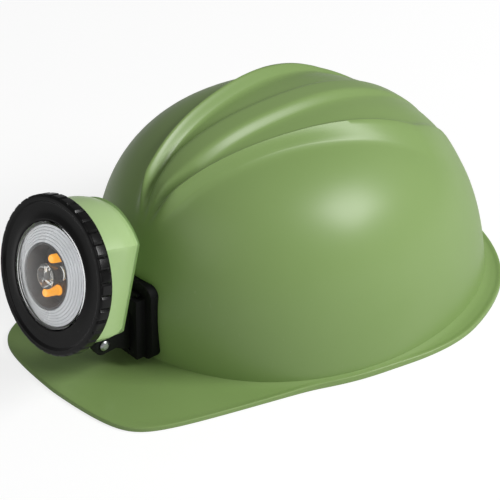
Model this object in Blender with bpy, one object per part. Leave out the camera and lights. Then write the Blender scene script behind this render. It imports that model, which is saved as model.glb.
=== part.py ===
"""Miner's hard hat with a cordless cap lamp on its front bracket.

Run with: blender --background --python part.py
Lengths are in metres, +Z is up, the front of the cap faces -Y and the wearer's left is +X.
Every piece is laid out in the shell's own frame, whose origin is the foot of the dome's axis on
the rim plane; an empty then moves the whole object so that its box stands centred on the origin.
"""
import math

import bmesh
import bpy
from mathutils import Matrix, Vector

MM = 0.001
GAP = 0.3 * MM
SMOOTH_ANGLE = math.radians(35.0)

# ---------------------------------------------------------------- shell
DOME_HALF_WIDTH = 100.5 * MM
DOME_FRONT = 114.2 * MM
DOME_REAR = 122.5 * MM
DOME_TOP = 121.3 * MM
DOME_SQUARENESS = 2.56
APEX_FORWARD = 14.6 * MM
SHELL_WALL = 2.4 * MM
SHELL_STATIONS = 36
SIDE_COLUMNS = 7
CROWN_SHARE = 0.7
BRIM_RINGS = 4
BRIM_SPACING = 0.7

RIM_HEIGHT = 2.7 * MM
RIM_ROUND = 0.7 * MM
BRIM_SLOPE = 0.03
FOOT_FILLET = 1.8 * MM
FOOT_FILLET_REACH = 4.0 * MM

PEAK_REACH = DOME_FRONT + 57.6 * MM
PEAK_FRONT_RADIUS = 800.0 * MM
PEAK_SIDE_OFFSET = DOME_HALF_WIDTH + 1.3 * MM
PEAK_TAPER = math.radians(12.5)
PEAK_SIDE_LEAN = math.radians(80.0)
PEAK_CORNER = 29.3 * MM
PEAK_BLEND_START = math.radians(64.5)
PEAK_BLEND_END = math.radians(98.7)
SIDE_BRIM = 2.6 * MM
BRIM_BLEND = 2.0 * MM
REAR_BRIM = 10.7 * MM
REAR_BRIM_START = math.radians(77.0)
REAR_BRIM_FULL = math.radians(116.6)
NAPE_CUT = 7.5 * MM
NAPE_CUT_START = math.radians(135.0)
NAPE_CUT_FULL = math.radians(178.0)

SIDE_RIDGE_HEIGHT = 9.0 * MM
SIDE_RIDGE_ROOT = -110.2 * MM
SIDE_RIDGE_LIMIT = 49.0 * MM
SIDE_RIDGE_SPREAD = 113.0 * MM
SIDE_RIDGE_STEEP = 3.0 * MM
SIDE_RIDGE_SLOPE = 5.7 * MM
SIDE_RIDGE_WIDENING = 15.1 * MM
WIDENING_START = -40.0 * MM
WIDENING_FULL = 90.0 * MM
CENTRE_RIDGE_HEIGHT = 4.9 * MM
CENTRE_RIDGE_TOP = 6.8 * MM
CENTRE_RIDGE_SLOPE = 4.5 * MM
CENTRE_SHARE = 0.85
CENTRE_TOP_SHARE = 0.55
RIDGE_START = -106.2 * MM
RIDGE_FULL = -88.5 * MM
RIDGE_FADE = -21.0 * MM
RIDGE_END = 122.8 * MM

# ---------------------------------------------------------------- lamp bracket and clip
BRACKET_HALF_WIDTH = 22.0 * MM
BRACKET_BOTTOM = 8.5 * MM
BRACKET_TOP = 56.0 * MM
BRACKET_CORNER = 6.5 * MM
BRACKET_PLATE = 3.0 * MM
BRACKET_COLUMNS = 16
BRACKET_ROWS = 8
CORNER_REACH = 0.985
JOIN_BITE = 1.0 * MM
RAIL_THICKNESS = 3.0 * MM
RAIL_LIP = 2.8 * MM
RAIL_TOP = 48.0 * MM
RAIL_BOTTOM = 13.0 * MM
LEDGE_HEIGHT = 3.0 * MM
TONGUE_HALF_WIDTH = 13.0 * MM
TONGUE_THICKNESS = 2.6 * MM
TONGUE_TOP = 50.0 * MM
SCREW_SEGMENTS = 12
SEAT_SEGMENTS = 20
BRACKET_SCREW_X = 18.8 * MM
BRACKET_SCREW_LOW = 18.0 * MM
BRACKET_SCREW_HIGH = 44.0 * MM
BRACKET_SCREW_RADIUS = 1.5 * MM
BRACKET_SCREW_HEAD = 3.2 * MM
BRACKET_SCREW_CROWN = 2.2 * MM
BRACKET_SCREW_HEAD_HEIGHT = 1.8 * MM
BRACKET_SCREW_START = 1.6 * MM
BRACKET_HOLE_RUN = 15.2 * MM
SCREW_SEAT_RUN = 9.6 * MM
ARM_ROOT = 6.0 * MM
ARM_LOW_DROP = 1.0 * MM
ARM_LOW_KNEE = 1.5 * MM
ARM_TOP_DROP = 5.0 * MM
ARM_KNEE_DROP = 12.0 * MM
ARM_HEAD_LOW = 0.4 * MM
ARM_HEAD_HIGH = 1.0 * MM
FORK_FLOOR = 2.4 * MM
FORK_BITE = 3.0 * MM
CHEEK_LOW = 0.8 * MM
CHEEK_HIGH = 1.2 * MM
CHEEK_START = 78.0
CHEEK_END = 282.0
CHEEK_STEPS = 12

# ---------------------------------------------------------------- lamp, in its own frame
LAMP_TILT = math.radians(13.5)
LAMP_FORWARD = 169.8 * MM
LAMP_HEIGHT = 77.0 * MM
HOUSING_RADIUS = 40.4 * MM
HOUSING_DEPTH = 34.6 * MM
HOUSING_REAR_RADIUS = HOUSING_RADIUS - 2.2 * MM
HOUSING_WALL = 2.6 * MM
HOUSING_FLAT = HOUSING_RADIUS - 10.4 * MM
HOUSING_FRONT = 6.0 * MM
HOUSING_FLAT_START = 12.5 * MM
HOUSING_TAPER_START = HOUSING_DEPTH - 10.6 * MM
HOUSING_ROUND = 3.4 * MM
HOUSING_BEVEL = 1.0 * MM
HOUSING_SEGMENTS = 48
LAMP_INSIDE = HOUSING_FLAT - HOUSING_WALL - GAP
BEZEL_RADIUS = HOUSING_RADIUS + 4.2 * MM
BEZEL_WINDOW = HOUSING_RADIUS - 10.4 * MM
BEZEL_BAND = 5.8 * MM
BEZEL_SKIRT = 1.4 * MM
BEZEL_FACE = 2.2 * MM
BEZEL_RIM_WIDTH = 3.2 * MM
BEZEL_DISH = 1.1 * MM
BEZEL_LIP = 0.5 * MM
BEZEL_CHAMFER = 1.0 * MM
BEZEL_KNURL = 0.9 * MM
BEZEL_TEETH = 38
LENS_FLANGE = HOUSING_RADIUS - 2.0 * MM
LENS_WALL = 1.7 * MM
LENS_CROWN = 6.8 * MM
LENS_SHOULDER = 0.6 * MM
LENS_TIP = 0.5 * MM
LENS_SEGMENTS = 32
LENS_INNER_STEPS = 6
LENS_OUTER_STEPS = 7
GASKET_HEIGHT = 0.9 * MM
GASKET_WIDTH = 1.8 * MM
WELL_RADIUS = BEZEL_WINDOW * 0.6
WELL_WALL = 1.0 * MM
WELL_FRONT = 2.3 * MM
WELL_SEGMENTS = 36
REFLECTOR_DROP = 3.8 * MM
REFLECTOR_STEPS = 6
REFLECTOR_WALL = 1.3 * MM
TREAD_SHARE = 0.92
TREAD_RISE = 0.35
LED_BOARD_DEPTH = 9.0 * MM
LED_BOARD_THICKNESS = 1.6 * MM
HEAT_SINK_THICKNESS = 4.0 * MM
HEAT_SINK_BACK = LED_BOARD_DEPTH + LED_BOARD_THICKNESS + GAP + HEAT_SINK_THICKNESS
HEAT_SINK_RADIUS = HOUSING_RADIUS - 6.4 * MM
OPTIC_RADIUS = 7.1 * MM
OPTIC_FRONT = 3.6 * MM
OPTIC_NECK = 4.0 * MM
OPTIC_POCKET = 2.7 * MM
OPTIC_POCKET_RISE = 0.5 * MM
OPTIC_TIP = 0.4 * MM
OPTIC_BAND = 1.2 * MM
OPTIC_EDGE = 0.8 * MM
OPTIC_SEGMENTS = 24
CHIP_SIZE = 3.6 * MM
CHIP_HEIGHT = 0.8 * MM
AMBER_RADIUS = 2.5 * MM
AMBER_FLANGE = 2.9 * MM
AMBER_FLANGE_HEIGHT = 1.0 * MM
AMBER_OFFSET = 10.2 * MM
AMBER_TIP = 1.5 * MM
AMBER_SEGMENTS = 16
AMBER_RISES = (0.0, 30.0, 60.0, 85.0)
SWITCH_UP = 14.0 * MM
SWITCH_BODY_WIDTH = 13.0 * MM
SWITCH_BODY_DEPTH = HOUSING_DEPTH - 24.1 * MM
SWITCH_FRONT_CLEARANCE = 1.35 * MM
SWITCH_BACK = HEAT_SINK_BACK + SWITCH_FRONT_CLEARANCE + SWITCH_BODY_DEPTH / 2.0
SWITCH_BODY_REACH = 10.6 * MM
SWITCH_CLEARANCE = 1.0 * MM
SHAFT_RADIUS = 2.0 * MM
SHAFT_SEGMENTS = 16
KNOB_RADIUS = 8.5 * MM
KNOB_HEIGHT = 9.5 * MM
KNOB_BASE = 1.0 * MM
KNOB_SHOULDER = 8.0 * MM
KNOB_CROWN = 6.8 * MM
KNOB_SOCKET = 5.7 * MM
KNOB_FLUTES = 12
KNOB_FLUTE_DEPTH = 0.8 * MM
SEAL_WIDTH = 1.5 * MM
SEAL_HEIGHT = 1.1 * MM
SEAL_SEGMENTS = 20
TRAY_WALL = 1.0 * MM
BATTERY_LENGTH = 2.0 * (LAMP_INSIDE - TRAY_WALL - GAP) - SWITCH_BODY_REACH - SWITCH_CLEARANCE
BATTERY_WIDTH = 34.0 * MM
BATTERY_THICKNESS = HOUSING_DEPTH - 24.6 * MM
BATTERY_X = (SWITCH_BODY_REACH + SWITCH_CLEARANCE) / 2.0
BOARD_CLEARANCE = 1.2 * MM
BOARD_THICKNESS = 1.2 * MM
BOARD_WIDTH = 28.0 * MM
BOARD_PART_HEIGHT = 1.0 * MM
BOARD_PART_PLACES = ((-0.2, -0.14), (0.15, 0.11), (0.32, -0.25), (-0.05, 0.28))
BOARD_PART_LENGTH = 6.0 * MM
BOARD_PART_WIDTH = 4.0 * MM
CONTACT_RADIUS = 1.9 * MM
CONTACT_HEAD = 3.0 * MM
CONTACT_CROWN = 1.8 * MM
CONTACT_HEAD_HEIGHT = 0.9 * MM
CONTACT_CROWN_HEIGHT = 1.3 * MM
CONTACT_TAIL = 3.0 * MM
CONTACT_X = 7.0 * MM
CONTACT_UP = HOUSING_RADIUS - 15.9 * MM

PIVOT_DROP = HOUSING_RADIUS + 4.1 * MM
PIVOT_BACK = HOUSING_DEPTH + 3.9 * MM
KNUCKLE_RADIUS = 6.2 * MM
KNUCKLE_START = 140.0
KNUCKLE_END = 340.0
KNUCKLE_STEPS = 10
LUG_REAR_BITE = 1.2 * MM
LUG_FRONT_BITE = 1.6 * MM
LUG_RUN = 3.0 * MM
LUG_HALF_WIDTH = 4.2 * MM
WASHER_THICKNESS = 0.6 * MM
WASHER_INSET = 0.6 * MM
WASHER_SEGMENTS = 20
CHEEK_THICKNESS = 4.8 * MM
PIN_RADIUS = 1.9 * MM
PIN_HEAD_RADIUS = 3.4 * MM
PIN_CROWN_RADIUS = 2.7 * MM
PIN_COLLAR_RADIUS = 3.1 * MM
PIN_HEAD_HEIGHT = 1.6 * MM
PIN_SEGMENTS = 16
HOLE_OVERRUN = 2.0 * MM

# ---------------------------------------------------------------- harness
HEAD_FORWARD = 6.0 * MM
BAND_HALF_WIDTH = DOME_HALF_WIDTH - 24.5 * MM
BAND_HALF_LENGTH = (DOME_FRONT + DOME_REAR) / 2.0 - 25.35 * MM
BAND_FRONT_SQUARENESS = 2.2
BAND_REAR_SQUARENESS = 3.0
BAND_THICKNESS = 2.0 * MM
BAND_BOTTOM = 5.0 * MM
BAND_HEIGHT = 28.0 * MM
BAND_END = math.radians(156.0)
BAND_STEPS = 60
SWEATBAND_THICKNESS = 4.0 * MM
SWEATBAND_EDGE = 2.2 * MM
SWEATBAND_HEIGHT = 33.0 * MM
SWEATBAND_END = math.radians(64.0)
SWEATBAND_STEPS = 24
LUG_HEIGHT = 18.0 * MM
LUG_WIDTH = 26.0 * MM
LUG_DEPTH = 6.5 * MM
LUG_CENTRE = 19.0 * MM
LUG_BITE = 1.0 * MM
TONGUE_SLOT = 3.4 * MM
KEY_TONGUE_WIDTH = 18.0 * MM
KEY_BODY_HEIGHT = 6.5 * MM
KEY_ANGLES = (42.0, 124.0, -124.0, -42.0)
STRAP_WIDTH = 20.0 * MM
STRAP_THICKNESS = 1.6 * MM
STRAP_CROWN = DOME_TOP - 37.3 * MM
STRAP_SQUARENESS = 2.5
STRAP_STEPS = 28

RACK_THICKNESS = 1.8 * MM
RACK_HEIGHT = 5.0 * MM
RACK_INNER_END = 20.0 * MM
TOOTH_MODULE = 1.0 * MM
PINION_TEETH = 10
TOOTH_SHARE = 0.30
TOOTH_TIP_SHARE = 0.45
RACK_ADDENDUM = 0.7
RACK_DEDENDUM = 1.1
PINION_ADDENDUM = 0.75
PINION_DEDENDUM = 1.0
CASE_HALF_WIDTH = 33.0 * MM
CASE_HEIGHT = 29.0 * MM
CASE_WALL = 2.0 * MM
CASE_DEPTH = 7.0 * MM
CASE_CORNER = 4.0 * MM
COVER_THICKNESS = 2.0 * MM
RATCHET_SHAFT_RADIUS = 3.4 * MM
PINION_STEP = 0.9 * MM
RATCHET_KNOB_RADIUS = 11.5 * MM
RATCHET_KNOB_HEIGHT = 8.5 * MM
RATCHET_KNOB_BASE = 1.0 * MM
RATCHET_KNOB_SHOULDER = 1.5 * MM
RATCHET_KNOB_CROWN = 9.9 * MM
RATCHET_KNOB_SOCKET = 5.1 * MM
RATCHET_KNOB_FLUTES = 14
RATCHET_FLUTE_DEPTH = 1.0 * MM
EYE_WIDTH = 6.0 * MM
EYE_X = 0.579 * BAND_HALF_WIDTH
EYE_WALL = 1.4 * MM
EYE_ROOT = 8.0 * MM
RACK_OUTER_END = EYE_X + 11.0 * MM
RACK_PLACE = BAND_HALF_LENGTH - HEAD_FORWARD
CASE_SCREW_RADIUS = 1.2 * MM
CASE_SCREW_HEAD = 2.4 * MM
CASE_SCREW_CROWN = 1.5 * MM
CASE_SCREW_EDGE = 0.8 * MM
CASE_SCREW_HEAD_HEIGHT = 1.3 * MM
CASE_SCREW_X = 26.0 * MM
CASE_BOSS_RADIUS = 2.6 * MM
SPRING_THICKNESS = 0.6 * MM
SPRING_LENGTH = 16.8 * MM
SPRING_BEND = 0.25
SPRING_BOW = 1.6 * MM


# ================================================================ small helpers
def smoothstep(start, end, value):
    """0 before start, 1 after end, with an S curve between them."""
    share = min(max((value - start) / (end - start), 0.0), 1.0)
    return share * share * (3.0 - 2.0 * share)


def smooth_min(first, second, blend):
    """The smaller of two lengths, with their corner rounded over about the blend length."""
    return (first + second - math.hypot(first - second, blend)) / 2.0


def smooth_max(first, second, blend):
    return -smooth_min(-first, -second, blend)


def signed_power(value, power):
    return math.copysign(abs(value) ** power, value)


def make_material(name, colour, roughness=0.5, metallic=0.0, transmission=0.0):
    material = bpy.data.materials.new(name)
    material.use_nodes = True
    shader = material.node_tree.nodes["Principled BSDF"]
    shader.inputs["Base Color"].default_value = (*colour, 1.0)
    shader.inputs["Roughness"].default_value = roughness
    shader.inputs["Metallic"].default_value = metallic
    shader.inputs["Transmission Weight"].default_value = transmission
    material.diffuse_color = (*colour, 1.0)
    return material


def add_object(name, mesh_maker, material, parent):
    """Turns a bmesh into one named object under the parent empty."""
    bmesh.ops.recalc_face_normals(mesh_maker, faces=mesh_maker.faces)
    mesh = bpy.data.meshes.new(name)
    mesh_maker.to_mesh(mesh)
    mesh_maker.free()
    mesh.shade_smooth()
    mesh.set_sharp_from_angle(angle=SMOOTH_ANGLE)
    mesh.materials.append(material)
    new_object = bpy.data.objects.new(name, mesh)
    bpy.context.scene.collection.objects.link(new_object)
    new_object.parent = parent
    return new_object


def add_empty(name, location, parent=None, rotation=(0.0, 0.0, 0.0)):
    empty = bpy.data.objects.new(name, None)
    bpy.context.scene.collection.objects.link(empty)
    empty.location = location
    empty.rotation_euler = rotation
    empty.parent = parent
    return empty


def add_cutter(name, mesh_maker, parent):
    """A cutter is only used by Boolean modifiers, so it is kept out of the render."""
    bmesh.ops.recalc_face_normals(mesh_maker, faces=mesh_maker.faces)
    mesh = bpy.data.meshes.new(name)
    mesh_maker.to_mesh(mesh)
    mesh_maker.free()
    cutter = bpy.data.objects.new(name, mesh)
    bpy.context.scene.collection.objects.link(cutter)
    cutter.parent = parent
    cutter.hide_render = True
    cutter.display_type = "WIRE"
    return cutter


def apply_boolean(target, cutter, operation="DIFFERENCE"):
    modifier = target.modifiers.new(cutter.name, "BOOLEAN")
    modifier.operation = operation
    modifier.solver = "EXACT"
    modifier.object = cutter


def merge_box(mesh_maker, low, high, frame=None):
    """Adds a box between two corners, in the given frame."""
    low, high = Vector(low), Vector(high)
    size = Matrix.Diagonal((*(high - low), 1.0))
    matrix = Matrix.Translation((low + high) / 2.0) @ size
    if frame is not None:
        matrix = frame @ matrix
    bmesh.ops.create_cube(mesh_maker, size=1.0, matrix=matrix)
    return mesh_maker


def box(low, high, frame=None):
    return merge_box(bmesh.new(), low, high, frame)


def loft(rings, mesh_maker=None, cyclic=False):
    """Joins rings of equal point counts: capped at both ends, or closed on itself."""
    mesh_maker = mesh_maker or bmesh.new()
    rows = [[mesh_maker.verts.new(point) for point in ring] for ring in rings]
    pairs = list(zip(rows, rows[1:]))
    if cyclic:
        pairs.append((rows[-1], rows[0]))
    for first, second in pairs:
        for index, corner in enumerate(first):
            after = (index + 1) % len(first)
            mesh_maker.faces.new((corner, first[after], second[after], second[index]))
    if not cyclic:
        mesh_maker.faces.new(rows[0])
        mesh_maker.faces.new(reversed(rows[-1]))
    return mesh_maker


def turned(profile, segments, cyclic=False, mesh_maker=None, frame=None):
    """Turns a profile of (radius, height) points about Z; cyclic gives a ring."""
    frame = frame or Matrix.Identity(4)
    rings = []
    for radius, height in profile:
        turns = [2.0 * math.pi * step / segments for step in range(segments)]
        rings.append([frame @ Vector((radius * math.cos(turn), radius * math.sin(turn), height))
                      for turn in turns])
    return loft(rings, mesh_maker, cyclic)


def sheet(front, back, mesh_maker=None):
    """A closed solid between two grids of points with the same rows and columns."""
    mesh_maker = mesh_maker or bmesh.new()
    grids = [[[mesh_maker.verts.new(point) for point in row] for row in grid]
             for grid in (front, back)]
    rows, columns = len(front), len(front[0])
    for grid in grids:
        for row in range(rows - 1):
            for column in range(columns - 1):
                mesh_maker.faces.new((grid[row][column], grid[row][column + 1],
                                      grid[row + 1][column + 1], grid[row + 1][column]))
    border = [(0, column) for column in range(columns)]
    border += [(row, columns - 1) for row in range(1, rows)]
    border += [(rows - 1, column) for column in range(columns - 2, -1, -1)]
    border += [(row, 0) for row in range(rows - 2, 0, -1)]
    for index, (row, column) in enumerate(border):
        next_row, next_column = border[(index + 1) % len(border)]
        mesh_maker.faces.new((grids[0][row][column], grids[0][next_row][next_column],
                              grids[1][next_row][next_column], grids[1][row][column]))
    return mesh_maker


def prism(outline, low, high, axis="X", mesh_maker=None, frame=None):
    """Extrudes a flat outline between two heights along one axis."""
    frame = frame or Matrix.Identity(4)
    place = {"X": lambda a, b, h: (h, a, b),
             "Y": lambda a, b, h: (a, h, b),
             "Z": lambda a, b, h: (a, b, h)}[axis]
    rings = [[frame @ Vector(place(a, b, height)) for a, b in outline] for height in (low, high)]
    return loft(rings, mesh_maker)


def arc(centre, radius, start, end, steps):
    """Points on a circle in a plane, angles in degrees."""
    turns = [math.radians(start + (end - start) * step / steps) for step in range(steps + 1)]
    return [(centre[0] + radius * math.cos(turn), centre[1] + radius * math.sin(turn))
            for turn in turns]


def rounded_rectangle(half_width, low, high, corner, steps=3):
    points = arc((half_width - corner, high - corner), corner, 0.0, 90.0, steps)
    points += arc((corner - half_width, high - corner), corner, 90.0, 180.0, steps)
    points += arc((corner - half_width, low + corner), corner, 180.0, 270.0, steps)
    points += arc((half_width - corner, low + corner), corner, 270.0, 360.0, steps)
    return points


def fluted_ring(radius, depth, flutes, height, frame=None):
    """One ring of a fluted knob: two points out and two points in for each flute."""
    frame = frame or Matrix.Identity(4)
    points = []
    for step in range(4 * flutes):
        turn = 2.0 * math.pi * step / (4 * flutes)
        reach = radius - (depth if step % 4 in (2, 3) else 0.0)
        points.append(frame @ Vector((reach * math.cos(turn), reach * math.sin(turn), height)))
    return points


# ================================================================ shell surface
def foot_radius(plan_angle):
    """Distance from the dome's axis to the foot of the dome, in plan; 0 is the front."""
    length = DOME_FRONT if math.cos(plan_angle) > 0.0 else DOME_REAR
    return 1.0 / math.hypot(math.sin(plan_angle) / DOME_HALF_WIDTH,
                            math.cos(plan_angle) / length)


def rim_radius(plan_angle):
    """Distance from the dome's axis to the outer edge of the brim or peak, in plan."""
    turn = abs(math.atan2(math.sin(plan_angle), math.cos(plan_angle)))
    brim = foot_radius(turn) + SIDE_BRIM
    brim += (REAR_BRIM - SIDE_BRIM) * smoothstep(REAR_BRIM_START, REAR_BRIM_FULL, turn)
    brim -= NAPE_CUT * smoothstep(NAPE_CUT_START, NAPE_CUT_FULL, turn)
    centre = PEAK_FRONT_RADIUS - PEAK_REACH
    along = centre * math.cos(turn)
    front = math.sqrt(along * along + PEAK_FRONT_RADIUS ** 2 - centre ** 2) - along
    lean = min(abs(math.pi / 2.0 - turn - PEAK_TAPER), PEAK_SIDE_LEAN)
    side = PEAK_SIDE_OFFSET / math.cos(lean)
    peak = smooth_min(front, side, PEAK_CORNER)
    share = smoothstep(PEAK_BLEND_START, PEAK_BLEND_END, turn)
    least = foot_radius(turn) + SIDE_BRIM
    return smooth_max((1.0 - share) * peak + share * brim, least, BRIM_BLEND)


def foot_height(plan_angle):
    """Height at which the dome leaves the brim."""
    width = rim_radius(plan_angle) - foot_radius(plan_angle)
    return RIM_HEIGHT + BRIM_SLOPE * width + FOOT_FILLET


def ridge_columns(y):
    """Ridge lines across the crown at a place along it: (distance from the middle, height)."""
    run = max(y - SIDE_RIDGE_ROOT, 0.0)
    inner_foot = SIDE_RIDGE_LIMIT * (1.0 - math.exp(-run / SIDE_RIDGE_SPREAD))
    slope = SIDE_RIDGE_SLOPE + SIDE_RIDGE_WIDENING * smoothstep(WIDENING_START, WIDENING_FULL, y)
    crest = inner_foot + SIDE_RIDGE_STEEP
    fade = smoothstep(RIDGE_START, RIDGE_FULL, y) * (1.0 - smoothstep(RIDGE_FADE, RIDGE_END, y))
    centre_foot = min(CENTRE_RIDGE_TOP + CENTRE_RIDGE_SLOPE, inner_foot * CENTRE_SHARE)
    centre_top = min(CENTRE_RIDGE_TOP, centre_foot * CENTRE_TOP_SHARE)
    return [(0.0, CENTRE_RIDGE_HEIGHT * fade), (centre_top, CENTRE_RIDGE_HEIGHT * fade),
            (centre_foot, 0.0), (inner_foot, 0.0), (crest, SIDE_RIDGE_HEIGHT * fade),
            (crest + slope, 0.0)]


def plain_dome(turn, rise):
    """Point and outward normal of the plain dome at a turn round it and a rise up it."""
    length = DOME_FRONT if math.cos(turn) > 0.0 else DOME_REAR
    plan_angle = math.atan2(DOME_HALF_WIDTH * math.sin(turn), length * math.cos(turn))
    base = foot_height(plan_angle)
    height = DOME_TOP - base
    across = math.cos(rise) ** (2.0 / DOME_SQUARENESS)
    up = math.sin(rise) ** (2.0 / DOME_SQUARENESS)
    point = Vector((DOME_HALF_WIDTH * across * math.sin(turn),
                    -length * across * math.cos(turn) - APEX_FORWARD * up,
                    base + height * up))
    slope = across ** (DOME_SQUARENESS - 1.0)
    normal = Vector((slope * math.sin(turn) / DOME_HALF_WIDTH,
                     -slope * math.cos(turn) / length,
                     up ** (DOME_SQUARENESS - 1.0) / height))
    return point, normal.normalized()


def crown_point(turn, reach, lift):
    """Point on the dome's cross-section at a turn, at a reach beside the middle plane."""
    length = DOME_FRONT if math.cos(turn) > 0.0 else DOME_REAR
    base = foot_height(plain_plan_angle(turn))
    height = DOME_TOP - base
    around = math.hypot(reach / DOME_HALF_WIDTH, math.cos(turn))
    share = max(1.0 - around ** DOME_SQUARENESS, 0.0) ** (1.0 / DOME_SQUARENESS)
    station = -length * math.cos(turn)
    point = Vector((reach, station - APEX_FORWARD * share, base + height * share))
    normal = Vector((around ** (DOME_SQUARENESS - 2.0) * reach / DOME_HALF_WIDTH ** 2,
                     around ** (DOME_SQUARENESS - 2.0) * station / length ** 2,
                     share ** (DOME_SQUARENESS - 1.0) / height))
    return point + normal.normalized() * lift


def crown_section(turn):
    """Half of one cross-section of the dome, from the middle plane down to its foot."""
    length = DOME_FRONT if math.cos(turn) > 0.0 else DOME_REAR
    top = (1.0 - abs(math.cos(turn)) ** DOME_SQUARENESS) ** (1.0 / DOME_SQUARENESS)
    half_width = DOME_HALF_WIDTH * math.sin(turn)
    columns = ridge_columns(-length * math.cos(turn) - APEX_FORWARD * top)
    shrink = min(1.0, CROWN_SHARE * half_width / columns[-1][0]) if columns[-1][0] > 0.0 else 1.0
    points = [crown_point(turn, reach * shrink, lift) for reach, lift in columns]
    edge = columns[-1][0] * shrink
    for step in range(1, SIDE_COLUMNS):
        share = math.sin(math.pi / 2.0 * step / SIDE_COLUMNS)
        points.append(crown_point(turn, edge + (half_width - edge) * share, 0.0))
    return points


def dome_front_y(x, z):
    """Outer face of the plain dome in front of the wearer, at a place across and up it."""
    base = foot_height(0.0)
    up = max((z - base) / (DOME_TOP - base), 0.0)
    across = (1.0 - up ** DOME_SQUARENESS) ** (1.0 / DOME_SQUARENESS)
    inside = 1.0 - (x / (DOME_HALF_WIDTH * across)) ** 2
    return -DOME_FRONT * across * math.sqrt(inside) - APEX_FORWARD * up


def wall_frame(turn, height):
    """Frame on the inner wall: X along the wall, Y into the cap, Z up the wall."""
    low, high = 0.0, math.pi / 2.0
    for _ in range(40):
        middle = (low + high) / 2.0
        if plain_dome(turn, middle)[0].z < height:
            low = middle
        else:
            high = middle
    step = math.radians(1.0)
    point = plain_dome(turn, low)[0]
    up = (plain_dome(turn, low + step)[0] - plain_dome(turn, low - step)[0]).normalized()
    along = plain_dome(turn + step, low)[0] - plain_dome(turn - step, low)[0]
    along = (along - up * along.dot(up)).normalized()
    inward = up.cross(along).normalized()
    centre = Vector((0.0, 0.0, height)) - point
    if inward.dot(centre) < 0.0:
        inward = -inward
        along = -along
    frame = Matrix((along, inward, up)).transposed().to_4x4()
    frame.translation = point + inward * SHELL_WALL
    return frame


def lug_frame(angle):
    return wall_frame(math.radians(angle), LUG_CENTRE)


def band_point(turn, inset=0.0):
    """Point on the headband's centre line, moved in by an inset."""
    squareness = BAND_FRONT_SQUARENESS if math.cos(turn) > 0.0 else BAND_REAR_SQUARENESS
    x = (BAND_HALF_WIDTH - inset) * signed_power(math.sin(turn), 2.0 / squareness)
    y = -(BAND_HALF_LENGTH - inset) * signed_power(math.cos(turn), 2.0 / squareness)
    return Vector((x, y - HEAD_FORWARD, 0.0))


# ================================================================ materials
def shell_green():
    return make_material("shell_green", (0.225, 0.372, 0.135), roughness=0.38)


def bracket_black():
    return make_material("bracket_black", (0.012, 0.012, 0.013), roughness=0.5)


def screw_steel():
    return make_material("screw_steel", (0.5, 0.5, 0.52), roughness=0.35, metallic=1.0)


def clip_black():
    return make_material("clip_black", (0.013, 0.013, 0.014), roughness=0.45)


def pin_steel():
    return make_material("pin_steel", (0.46, 0.46, 0.48), roughness=0.3, metallic=1.0)


def washer_nylon():
    return make_material("washer_nylon", (0.75, 0.73, 0.68), roughness=0.55)


def housing_green():
    return make_material("housing_green", (0.45, 0.63, 0.28), roughness=0.3)


def bezel_black():
    return make_material("bezel_black", (0.01, 0.01, 0.011), roughness=0.16)


def lens_clear():
    return make_material("lens_clear", (0.9, 0.92, 0.93), roughness=0.05, transmission=1.0)


def gasket_rubber():
    return make_material("gasket_rubber", (0.03, 0.03, 0.03), roughness=0.8)


def reflector_silver():
    return make_material("reflector_silver", (0.86, 0.88, 0.9), roughness=0.25, metallic=0.6)


def well_grey():
    return make_material("well_grey", (0.055, 0.055, 0.058), roughness=0.35)


def led_board_dark():
    return make_material("led_board_dark", (0.035, 0.03, 0.028), roughness=0.4)


def heat_sink_aluminium():
    return make_material("heat_sink_aluminium", (0.6, 0.61, 0.62), roughness=0.4, metallic=1.0)


def chip_phosphor():
    return make_material("chip_phosphor", (0.85, 0.62, 0.12), roughness=0.4)


def optic_clear():
    return make_material("optic_clear", (0.92, 0.92, 0.9), roughness=0.08, transmission=0.9)


def amber_epoxy():
    return make_material("amber_epoxy", (1.0, 0.55, 0.02), roughness=0.12)


def tray_grey():
    return make_material("tray_grey", (0.16, 0.16, 0.17), roughness=0.6)


def battery_wrap():
    return make_material("battery_wrap", (0.05, 0.12, 0.4), roughness=0.45)


def board_green():
    return make_material("board_green", (0.02, 0.14, 0.05), roughness=0.4)


def contact_brass():
    return make_material("contact_brass", (0.8, 0.6, 0.25), roughness=0.3, metallic=1.0)


def switch_body_black():
    return make_material("switch_body_black", (0.02, 0.02, 0.02), roughness=0.5)


def switch_seal_rubber():
    return make_material("switch_seal_rubber", (0.03, 0.03, 0.03), roughness=0.8)


def shaft_steel():
    return make_material("shaft_steel", (0.5, 0.5, 0.52), roughness=0.3, metallic=1.0)


def switch_knob_black():
    return make_material("switch_knob_black", (0.015, 0.015, 0.016), roughness=0.4)


def headband_black():
    return make_material("headband_black", (0.02, 0.02, 0.022), roughness=0.5)


def sweatband_foam():
    return make_material("sweatband_foam", (0.05, 0.05, 0.055), roughness=0.9)


def key_black():
    return make_material("key_black", (0.022, 0.022, 0.024), roughness=0.5)


def strap_webbing():
    return make_material("strap_webbing", (0.06, 0.06, 0.065), roughness=0.9)


def case_black():
    return make_material("case_black", (0.02, 0.02, 0.022), roughness=0.45)


def cover_black():
    return make_material("cover_black", (0.02, 0.02, 0.022), roughness=0.45)


def ratchet_knob_black():
    return make_material("ratchet_knob_black", (0.018, 0.018, 0.02), roughness=0.4)


def rack_black():
    return make_material("rack_black", (0.025, 0.025, 0.028), roughness=0.45)


def pinion_white():
    return make_material("pinion_white", (0.75, 0.75, 0.72), roughness=0.45)


def spring_steel():
    return make_material("spring_steel", (0.55, 0.55, 0.57), roughness=0.3, metallic=1.0)


def case_screw_steel():
    return make_material("case_screw_steel", (0.5, 0.5, 0.52), roughness=0.35, metallic=1.0)


# ================================================================ cap
def plain_plan_angle(turn):
    length = DOME_FRONT if math.cos(turn) > 0.0 else DOME_REAR
    return math.atan2(DOME_HALF_WIDTH * math.sin(turn), length * math.cos(turn))


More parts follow.
